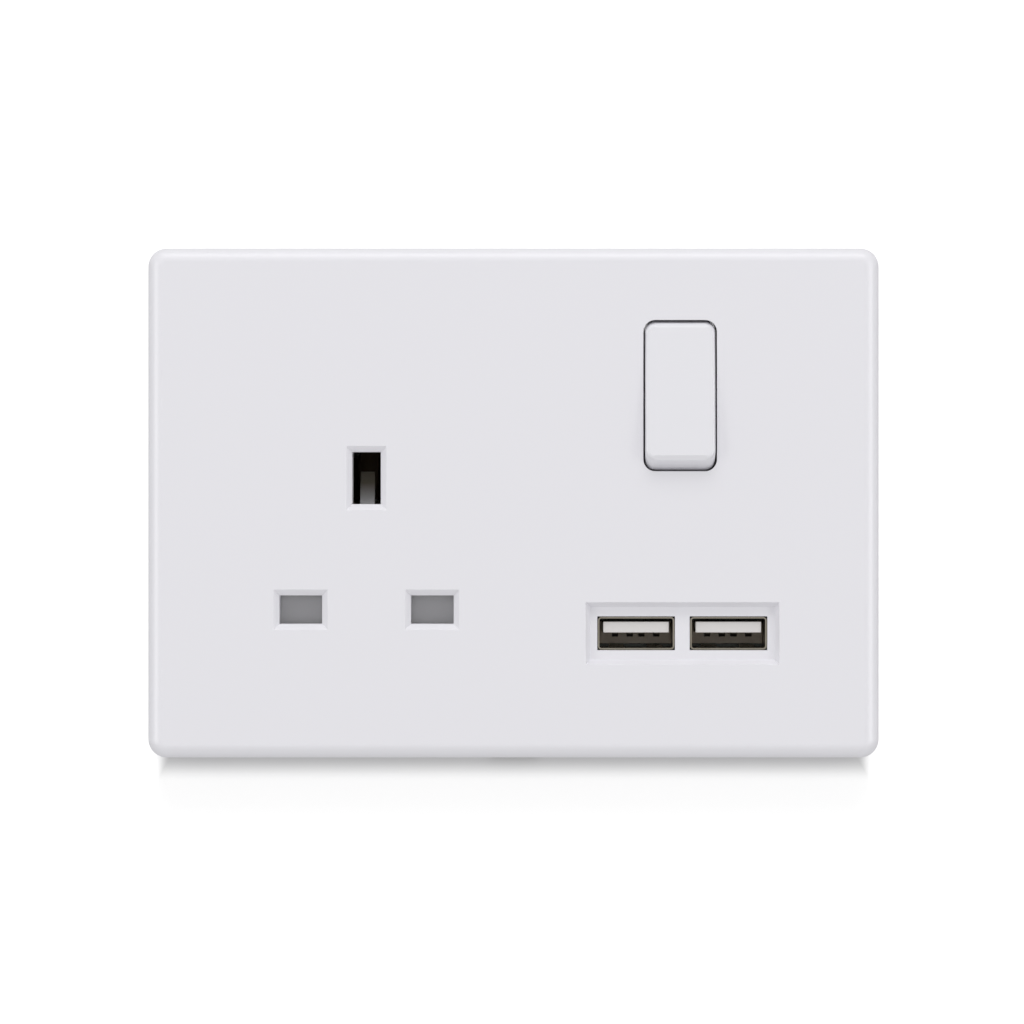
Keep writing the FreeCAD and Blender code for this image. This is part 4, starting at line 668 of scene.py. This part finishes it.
# Name, colour at the front, colour in the depth, which is painted shade, and where it starts and
# stops to change, in mm
PAINTED_DEPTH_SHADES = (
    ("shutter_satin", "shutter", "shutter_painted_shade", -1.6, 1.4),
    ("tongue_gloss", "tongue", "tongue_deep", 2.6, 3.4),
)


class SOCKET_OT_materials(bpy.types.Operator):
    """Make every finish that the pieces share"""

    bl_idname = "socket.materials"
    bl_label = "Finishes"

    def execute(self, context):
        tones = context.scene.socket_colours
        make_moulded_skin()
        make_pressed_metal()
        for name, tone, *values in PLASTICS:
            plastic(name, getattr(tones, tone), *values)
        for name, tone, *values in METALS:
            metal(name, getattr(tones, tone), *values)
        # Darken the shutter and the tongues deeper in: painted shade in the slots and ports.
        for name, near, deep, start, stop in PAINTED_DEPTH_SHADES:
            ends = getattr(tones, near), getattr(tones, deep)
            paint_shade_with_depth(finish(name), *ends, start * MM, stop * MM)
        return {"FINISHED"}


def finish(name):
    """A material that was made before, by its name."""
    return bpy.data.materials[name]


class SOCKET_OT_cover(bpy.types.Operator):
    """Finish the front plate"""

    bl_idname = "socket.cover"
    bl_label = "Front plate"

    def execute(self, context):
        edge = context.scene.socket_sizes.cover_edge
        refinish("front_plate", edge, finish("cover_gloss"), 3)
        return {"FINISHED"}


class SOCKET_OT_rocker(bpy.types.Operator):
    """Finish the rocker and the plunger under it"""

    bl_idname = "socket.rocker"
    bl_label = "Rocker"

    def execute(self, context):
        sizes = context.scene.socket_sizes
        sharp_over = math.radians(64)
        refinish("rocker", sizes.key_edge, finish("rocker_gloss"), 3, sharp_over, sizes.key_lip)
        refinish("plunger", sizes.key_edge, finish("rocker_gloss"))
        return {"FINISHED"}


class SOCKET_OT_housings(bpy.types.Operator):
    """Finish the frame, the inner cover and the rear moulding"""

    bl_idname = "socket.housings"
    bl_label = "Housings"

    def execute(self, context):
        edge = context.scene.socket_sizes.housing_edge
        refinish("mounting_frame", edge, finish("frame_satin"))
        refinish("inner_cover", edge, finish("frame_satin"))
        refinish("socket_base", edge, finish("base_satin"))
        return {"FINISHED"}


class SOCKET_OT_shutter(bpy.types.Operator):
    """Finish the shutter behind the pin slots"""

    bl_idname = "socket.shutter"
    bl_label = "Shutter"

    def execute(self, context):
        refinish("shutter", context.scene.socket_sizes.strip_edge, finish("shutter_satin"))
        return {"FINISHED"}


class SOCKET_OT_springs(bpy.types.Operator):
    """Wind the shutter's spring and the plunger's spring from round wire"""

    bl_idname = "socket.springs"
    bl_label = "Springs"

    def execute(self, context):
        wire = context.scene.socket_sizes.spring_wire
        make_shutter_coil(wire)
        make_plunger_coil(wire)
        return {"FINISHED"}


def joint(name):
    """The record's entry of a joint."""
    return next(entry for entry in frame["joints"] if entry["name"] == name)


def make_shutter_coil(wire):
    """The spring under the shutter, wound at its rest length; the real one shortens as the shutter
    goes down.
    """
    turns = 6
    low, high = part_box("shutter_spring")
    middle = (low + high) / 2
    radius = (high.x - low.x - FLAT_WIRE * wire) / 2
    shape = wound_wire(radius, wire, high.z - low.z - wire, turns)
    place = Matrix.Translation((middle.x, middle.y, low.z + wire / 2))
    bmesh.ops.transform(shape, matrix=place, verts=shape.verts)
    piece = new_piece("shutter_coil", mesh_of(shape, "shutter_coil"))
    dress(piece, finish("spring_wire"), "spring_steel", "base", "shutter_spring")
    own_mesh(piece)


def make_plunger_coil(wire):
    """The small spring inside the rocker's peg, along the plunger's own axis."""
    turns = 5
    forward = -Vector(joint("plunger_slide")["axis"])
    corners = [vert.co for vert in frame["nodes"]["plunger_spring"].data.vertices]
    heights = [corner.dot(forward) for corner in corners]
    centre = sum(corners, Vector()) / len(corners)
    radius = max(
        (corner - centre - forward * (corner - centre).dot(forward)).length for corner in corners
    )
    rise = max(heights) - min(heights) - wire
    shape = wound_wire(radius - FLAT_WIRE * wire / 2, wire, rise, turns)
    start = centre + forward * (min(heights) + wire / 2 - centre.dot(forward))
    turned = Vector((0, 0, 1)).rotation_difference(forward).to_matrix().to_4x4()
    bmesh.ops.transform(
        shape, matrix=Matrix.Translation(start) @ turned, verts=shape.verts
    )
    piece = new_piece("plunger_coil", mesh_of(shape, "plunger_coil"))
    dress(piece, finish("spring_wire"), "spring_steel", "rocker", "plunger_spring")


class SOCKET_OT_strips(bpy.types.Operator):
    """Finish the brass strips and the switch's moving contact"""

    bl_idname = "socket.strips"
    bl_label = "Brass strips"

    def execute(self, context):
        edge = context.scene.socket_sizes.strip_edge
        for node in ("neutral_contact", "line_contact", "line_feed"):
            refinish(node, edge, finish("brass_strip"))
        # The earth clip's brass is darkened: painted shade down in the earth slot.
        refinish("earth_contact", edge, finish("dull_brass"))
        refinish("moving_contact", edge, finish("contact_face"))
        return {"FINISHED"}


class SOCKET_OT_terminals(bpy.types.Operator):
    """Finish the brass blocks that clamp the building's wires"""

    bl_idname = "socket.terminals"
    bl_label = "Terminals"

    def execute(self, context):
        edge = context.scene.socket_sizes.housing_edge
        for node in ("neutral_terminal", "earth_terminal", "line_terminal"):
            refinish(node, edge, finish("brass_strip"))
        return {"FINISHED"}


class SOCKET_OT_screws(bpy.types.Operator):
    """Make the screws, with their driver recesses and threads"""

    bl_idname = "socket.screws"
    bl_label = "Screws"

    def execute(self, context):
        sizes = context.scene.socket_sizes
        for node, shank_share in (
            ("terminal_screws", 2 / 3),
            ("assembly_screws", 1.2 / 2.2),
            ("case_screws", 1.2 / 2.2),
        ):
            boxes = islands(node)
            low, high = boxes[0]
            head_radius = corner_radius(low, high)
            shape = screw_shape(
                head_radius,
                sizes.head_height,
                head_radius * shank_share,
                high.y - low.y - sizes.head_height,
                sizes.thread_pitch,
            )
            places = [
                Matrix.Translation(
                    ((low.x + high.x) / 2, high.y - sizes.head_height, (low.z + high.z) / 2)
                )
                @ AXIS_Y
                for low, high in boxes
            ]
            piece = join_copies(shape, places, node + "_turned")
            dress(piece, finish("zinc_plate"), slot_of(node), "base", node)
        return {"FINISHED"}


class SOCKET_OT_usb_ports(bpy.types.Operator):
    """Finish the two ports: their shells, tongues and contact blades"""

    bl_idname = "socket.usb_ports"
    bl_label = "USB ports"

    def execute(self, context):
        fine = context.scene.socket_sizes.fine_edge
        for side in ("left", "right"):
            refinish("usb_shell_" + side, fine, finish("shell_plate"))
            refinish("usb_tongue_" + side, 2 * fine, finish("tongue_gloss"))
            make_blades("usb_contacts_" + side)
        return {"FINISHED"}


def make_blades(node):
    """The contact blades of one port, each bowed down towards a plug's contacts."""
    steps = 8
    tip, reach, drop = 0.2 * MM, 4.4 * MM, 0.55 * MM
    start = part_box(node)[0].y + tip
    shape = merged(node)
    for step in range(steps + 1):
        bmesh.ops.bisect_plane(
            shape,
            geom=shape.verts[:] + shape.edges[:] + shape.faces[:],
            plane_co=(0, start + reach * step / steps, 0),
            plane_no=(0, 1, 0),
        )
    for vert in shape.verts:
        along = (vert.co.y - start) / reach
        if 0 < along < 1:
            vert.co.z -= drop * math.sin(math.pi * along)
    piece = new_piece(node + "_bowed", mesh_of(shape, node + "_bowed"))
    dress(piece, finish("blade_face"), slot_of(node), body_of(node), node)


class SOCKET_OT_usb_supply(bpy.types.Operator):
    """Finish the charger's case, its board and what the board carries"""

    bl_idname = "socket.usb_supply"
    bl_label = "USB supply"

    def execute(self, context):
        sizes = context.scene.socket_sizes
        refinish("usb_case", sizes.housing_edge, finish("case_satin"))
        refinish("usb_case_lid", sizes.housing_edge, finish("case_satin"))
        refinish("usb_board", sizes.fine_edge, finish("board_mask"))
        refinish("transformer_core", sizes.strip_edge, finish("ferrite_dull"))
        refinish("transformer_winding", sizes.strip_edge, finish("winding_tape"))
        refinish("bridge_rectifier", sizes.strip_edge, finish("black_resin"))
        for node in ("input_capacitor", "output_capacitor"):
            make_can(node)
        make_resistor()
        make_solder_joints(sizes.fine_edge)
        return {"FINISHED"}


def make_can(node):
    """A sleeved capacitor with a crimped neck and a rolled top, standing along Y."""
    low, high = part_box(node)
    radius, tall = corner_radius(low, high), high.y - low.y
    round_top, crimp, sunk = radius * 0.16, radius * 0.12, radius * 0.06
    neck = tall * 0.2
    section = [(0, 0), (radius * 0.86, 0), (radius, round_top), (radius, neck)]
    section += arc(crimp, 90, 270, 6, (radius, neck + crimp))[::-1]
    section += [(radius, tall - round_top)]
    section += arc(round_top, 0, 90, 5, (radius - round_top, tall - round_top))
    section += [(radius * 0.74, tall), (radius * 0.70, tall - sunk), (0, tall - sunk)]
    shape = spun(section, 56)
    place = Matrix.Translation(((low.x + high.x) / 2, low.y, (low.z + high.z) / 2)) @ AXIS_Y
    bmesh.ops.transform(shape, matrix=place, verts=shape.verts)
    piece = new_piece(node + "_can", mesh_of(shape, node + "_can"))
    dress(piece, finish("can_sleeve"), slot_of(node), "base", node)


def make_resistor():
    """A lacquered resistor with fuller ends, lying along X."""
    low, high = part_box("fuse_resistor")
    radius, reach = (high.z - low.z) / 2, high.x - low.x
    cap = 0.2 * reach
    waist = 0.84 * radius
    end = [
        (radius * math.sin(math.radians(turn)), cap * (1 - math.cos(math.radians(turn))))
        for turn in range(0, 91, 15)
    ]
    section = end + [(waist, 1.5 * cap)]
    section += [(across, reach - along) for across, along in reversed(section)]
    shape = spun(section, 40)
    place = Matrix.Translation((low.x, (low.y + high.y) / 2, (low.z + high.z) / 2)) @ AXIS_X
    bmesh.ops.transform(shape, matrix=place, verts=shape.verts)
    piece = new_piece("resistor_body", mesh_of(shape, "resistor_body"))
    dress(piece, finish("resistor_coat"), "resistor_coat", "base", "fuse_resistor")


def make_solder_joints(edge):
    """A small cone of solder round each contact's tail on the board's back."""
    board_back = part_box("usb_board")[1].y
    spread_radius, tall = 0.75 * MM, 0.55 * MM
    hollow, steps = 1.8, 6
    section = [(0, 0), (spread_radius, 0)]
    section += [
        (spread_radius * (1 - step / steps) ** hollow + edge, tall * step / steps)
        for step in range(1, steps + 1)
    ]
    section += [(0, tall)]
    boxes = islands("usb_contacts_left") + islands("usb_contacts_right")
    places = [
        Matrix.Translation(((low.x + high.x) / 2, board_back, (low.z + high.z) / 2)) @ AXIS_Y
        for low, high in boxes
    ]
    piece = join_copies(spun(section, 20), places, "solder_joints")
    dress(piece, finish("contact_face"), "contact_metal", "base")


class SOCKET_OT_leads(bpy.types.Operator):
    """Finish the two insulated leads of the charger"""

    bl_idname = "socket.leads"
    bl_label = "Leads"

    def execute(self, context):
        bend = context.scene.socket_sizes.lead_bend
        make_lead("usb_line_lead", bend, finish("line_sleeve"))
        make_lead("usb_neutral_lead", bend, finish("neutral_sleeve"))
        return {"FINISHED"}


def make_lead(node, bend, material):
    """A round insulated wire that leaves the board along Y, bends and runs along -X."""
    steps = 10
    low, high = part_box(node)
    radius = (high.z - low.z) / 2
    start_x = high.x - HEXAGON * radius
    bend_y = high.y - HEXAGON * radius - bend
    shape = bmesh.new()
    ring = bmesh.ops.create_circle(shape, cap_ends=False, segments=16, radius=radius)["verts"]
    place = Matrix.Translation((start_x, low.y, (low.z + high.z) / 2)) @ AXIS_Y
    bmesh.ops.transform(shape, matrix=place, verts=ring)
    first = list(shape.edges)
    last = drawn_out(shape, first, (0, bend_y - low.y, 0))
    last = bmesh.ops.spin(
        shape,
        geom=last,
        cent=(start_x - bend, bend_y, 0),
        axis=(0, 0, 1),
        angle=math.radians(90),
        steps=steps,
        use_duplicate=False,
    )["geom_last"]
    last = [item for item in last if isinstance(item, bmesh.types.BMEdge)]
    last = drawn_out(shape, last, (low.x - start_x + bend, 0, 0))
    for rim in (first, last):
        bmesh.ops.contextual_create(shape, geom=rim)
    bmesh.ops.recalc_face_normals(shape, faces=shape.faces)
    piece = new_piece(node + "_round", mesh_of(shape, node + "_round"))
    dress(piece, material, slot_of(node), body_of(node), node)


def drawn_out(shape, edges, way):
    """Draw a ring of edges out along a way, and give its new edges."""
    grown = bmesh.ops.extrude_edge_only(shape, edges=edges)["geom"]
    verts = [item for item in grown if isinstance(item, bmesh.types.BMVert)]
    bmesh.ops.translate(shape, vec=way, verts=verts)
    ends = set(verts)
    return [
        item
        for item in grown
        if isinstance(item, bmesh.types.BMEdge) and ends.issuperset(item.verts)
    ]


def ramp(tree, source, start, stop):
    """A soft step from 0 to 1 as a value goes from start to stop."""
    return add(
        tree,
        "ShaderNodeMapRange",
        {"Value": source, "From Min": start, "From Max": stop},
        interpolation_type="SMOOTHSTEP",
    ).outputs["Result"]


def make_wall_material(strength, low, high):
    """A white wall that glows to the camera outside the plate's shadow, clear from behind.

    It is clear to light that leaves the plate's back too, which lies close behind it.
    """
    shadow_start, shadow_stop = 0.2 * MM, 4.3 * MM
    side_start, side_stop = -3.4 * MM, -0.4 * MM
    top_stop = 1.0 * MM
    glow_below = 0.75
    just_behind = 0.4 * MM
    material, tree = bare_material("wall_white")
    point = add(tree, "ShaderNodeTexCoord").outputs["Object"]
    apart = add(tree, "ShaderNodeSeparateXYZ", {"Vector": point}).outputs
    across = maths(tree, "ABSOLUTE", apart["X"], 0.0)
    beside = ramp(tree, across, high.x + side_start, high.x + side_stop)
    below = ramp(tree, apart["Z"], low.z - shadow_start, low.z - shadow_stop)
    above = ramp(tree, apart["Z"], 0.0, top_stop)
    below = maths(tree, "MULTIPLY", below, glow_below)
    lit_up = maths(tree, "MAXIMUM", maths(tree, "MAXIMUM", beside, above), below)
    diffuse = add(tree, "ShaderNodeBsdfDiffuse", {"Color": (0.65, 0.65, 0.65, 1)})
    glow = add(tree, "ShaderNodeEmission", {"Strength": maths(tree, "MULTIPLY", lit_up, strength)})
    both = add(tree, "ShaderNodeAddShader")
    tree.links.new(diffuse.outputs[0], both.inputs[0])
    tree.links.new(glow.outputs[0], both.inputs[1])
    seen = add(tree, "ShaderNodeLightPath")
    lit = tree.nodes.new("ShaderNodeMixShader")
    tree.links.new(seen.outputs["Is Camera Ray"], lit.inputs[0])
    tree.links.new(diffuse.outputs[0], lit.inputs[1])
    tree.links.new(both.outputs[0], lit.inputs[2])
    unseen = maths(tree, "LESS_THAN", seen.outputs["Ray Length"], just_behind)
    clear_from_behind(tree, lit, unseen)
    return material


def bare_material(name):
    """A material without nodes, and its tree."""
    material = bpy.data.materials.new(name)
    material.use_nodes = True
    material.node_tree.nodes.clear()
    return material, material.node_tree


def clear_from_behind(tree, shader, unseen):
    """End a material in a surface that only shows on its front, and not where it is unseen."""
    clear = add(tree, "ShaderNodeBsdfTransparent")
    sided = tree.nodes.new("ShaderNodeMixShader")
    side = add(tree, "ShaderNodeNewGeometry").outputs["Backfacing"]
    tree.links.new(maths(tree, "MAXIMUM", side, unseen), sided.inputs[0])
    tree.links.new(shader.outputs[0], sided.inputs[1])
    tree.links.new(clear.outputs[0], sided.inputs[2])
    end = tree.nodes.new("ShaderNodeOutputMaterial")
    tree.links.new(sided.outputs[0], end.inputs["Surface"])


def set_on_stage(shape, name, material):
    """Make a stage piece of a shape. The shape is freed."""
    mesh = bpy.data.meshes.new(name)
    shape.to_mesh(mesh)
    shape.free()
    mesh.materials.append(material)
    new_piece(name, mesh)


def make_wall(reach_x, reach_z, glow):
    """The wall round a box opening that the plate covers."""
    half_wall, gap = 3.0, 0.02 * MM
    low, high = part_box("front_plate")
    depth = high.y + gap
    corners = (-1, -1), (1, -1), (1, 1), (-1, 1)
    shape = bmesh.new()
    inner = [shape.verts.new((x * reach_x, depth, z * reach_z)) for x, z in corners]
    outer = [shape.verts.new((x * half_wall, depth, z * half_wall)) for x, z in corners]
    for step in range(4):
        after = (step + 1) % 4
        shape.faces.new((inner[step], outer[step], outer[after], inner[after]))
    set_on_stage(shape, "wall", make_wall_material(glow, low, high))


def make_box_back(reach_x, reach_z):
    """The back of the wall box, behind every piece, which only the camera sees: a near-black sheet
    of painted shade in the box's hollow.
    """
    behind = CAD_BOX[1][1] + 5 * MM
    material, tree = bare_material("wall_box_back")
    # Near black: painted shade of the box's hollow.
    dark = add(tree, "ShaderNodeBsdfDiffuse", {"Color": (0.02, 0.02, 0.02, 1)})
    seen = add(tree, "ShaderNodeLightPath").outputs["Is Camera Ray"]
    clear_from_behind(tree, dark, maths(tree, "LESS_THAN", seen, 0.5))
    place = Matrix.Translation((0, behind, 0)) @ Matrix.Rotation(math.radians(90), 4, "X")
    place = place @ Matrix.Diagonal((reach_x, reach_z, 1, 1))
    shape = bmesh.new()
    bmesh.ops.create_grid(shape, x_segments=1, y_segments=1, size=1.0, matrix=place)
    set_on_stage(shape, "wall_box_back", material)


def make_light(name, place, width, height, power):
    """A lamp of a width and a height in metres, aimed at the plate."""
    data = bpy.data.lights.new(name, "AREA")
    data.shape = "RECTANGLE"
    data.size = width
    data.size_y = height
    data.energy = power
    lamp = bpy.data.objects.new(name, data)
    bpy.context.scene.collection.objects.link(lamp)
    lamp.location = place
    lamp.rotation_euler = (Vector() - Vector(place)).to_track_quat("-Z", "Y").to_euler()
    return lamp


def make_room(strength):
    """A plain white room: soft light all round, and white where it is seen."""
    world = bpy.data.worlds.new("room")
    bpy.context.scene.world = world
    world.use_nodes = True
    tree = world.node_tree
    background = tree.nodes["Background"]
    background.inputs["Color"].default_value = (1, 1, 1, 1)
    seen = add(tree, "ShaderNodeLightPath").outputs
    shown = maths(tree, "MAXIMUM", seen["Is Camera Ray"], seen["Is Transmission Ray"])
    shown = maths(tree, "MAXIMUM", shown, seen["Is Glossy Ray"])
    level = spread(tree, shown, strength, 1.0)
    tree.links.new(level, background.inputs["Strength"])


def make_camera(stage):
    """A long lens square to the wall, placed so that the plate fills its pixels."""
    low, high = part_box("front_plate")
    metres_a_pixel = (high.x - low.x) / stage.plate_pixels
    half = stage.picture_side / 2
    data = bpy.data.cameras.new("camera")
    data.lens = stage.lens
    distance = metres_a_pixel * stage.picture_side * data.lens / data.sensor_width
    camera = bpy.data.objects.new("camera", data)
    bpy.context.scene.collection.objects.link(camera)
    camera.location = (
        (half - stage.middle_across) * metres_a_pixel,
        (low.y + high.y) / 2 - distance,
        (stage.middle_down - half) * metres_a_pixel,
    )
    camera.rotation_euler = (math.radians(90), 0, 0)
    data.clip_end = 20
    bpy.context.scene.camera = camera


class SOCKET_OT_stage(bpy.types.Operator):
    """Set up the wall, the lights and the camera"""

    bl_idname = "socket.stage"
    bl_label = "Stage"

    def execute(self, context):
        stage = context.scene.socket_stage
        hidden = 4 * MM
        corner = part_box("mounting_frame")[1]
        reach = corner.x - hidden, corner.z - hidden
        make_wall(*reach, stage.wall_glow)
        make_box_back(*reach)
        make_room(stage.room_light)
        make_light("key", (0, -0.75, 1.35), 1.1, 0.6, stage.key_power)
        for name, side in (("left", -1), ("right", 1)):
            place = (1.2 * side, -0.95, 0.0)
            make_light(name, place, 0.3, 1.0, stage.side_power)
            shine = make_light(name + "_shine", place, 0.8, 1.0, stage.shine_power)
            shine.visible_diffuse = False
        make_camera(stage)
        context.scene.view_settings.view_transform = "Standard"
        return {"FINISHED"}


class SOCKET_PT_panel(bpy.types.Panel):
    """Lists the steps that finish the socket"""

    bl_idname = "SOCKET_PT_panel"
    bl_label = "Wall socket"
    bl_space_type = "VIEW_3D"
    bl_region_type = "UI"
    bl_category = "Socket"

    def draw(self, context):
        for step in STEPS:
            self.layout.operator(step.bl_idname)
        for settings in (
            context.scene.socket_colours,
            context.scene.socket_sizes,
            context.scene.socket_stage,
        ):
            box = self.layout.box()
            for field in settings.__annotations__:
                box.prop(settings, field)


STEPS = (
    SOCKET_OT_materials,
    SOCKET_OT_cover,
    SOCKET_OT_rocker,
    SOCKET_OT_housings,
    SOCKET_OT_shutter,
    SOCKET_OT_springs,
    SOCKET_OT_strips,
    SOCKET_OT_terminals,
    SOCKET_OT_screws,
    SOCKET_OT_usb_ports,
    SOCKET_OT_usb_supply,
    SOCKET_OT_leads,
    SOCKET_OT_stage,
)
CLASSES = (SocketColours, SocketSizes, SocketStage) + STEPS + (SOCKET_PT_panel,)


def register():
    for item in CLASSES:
        bpy.utils.register_class(item)
    bpy.types.Scene.socket_colours = PointerProperty(type=SocketColours)
    bpy.types.Scene.socket_sizes = PointerProperty(type=SocketSizes)
    bpy.types.Scene.socket_stage = PointerProperty(type=SocketStage)


def unregister():
    del bpy.types.Scene.socket_stage
    del bpy.types.Scene.socket_sizes
    del bpy.types.Scene.socket_colours
    for item in reversed(CLASSES):
        bpy.utils.unregister_class(item)


def main():
    register()
    for step in STEPS:
        group, name = step.bl_idname.split(".")
        getattr(getattr(bpy.ops, group), name)()


if __name__ == "__main__":
    main()
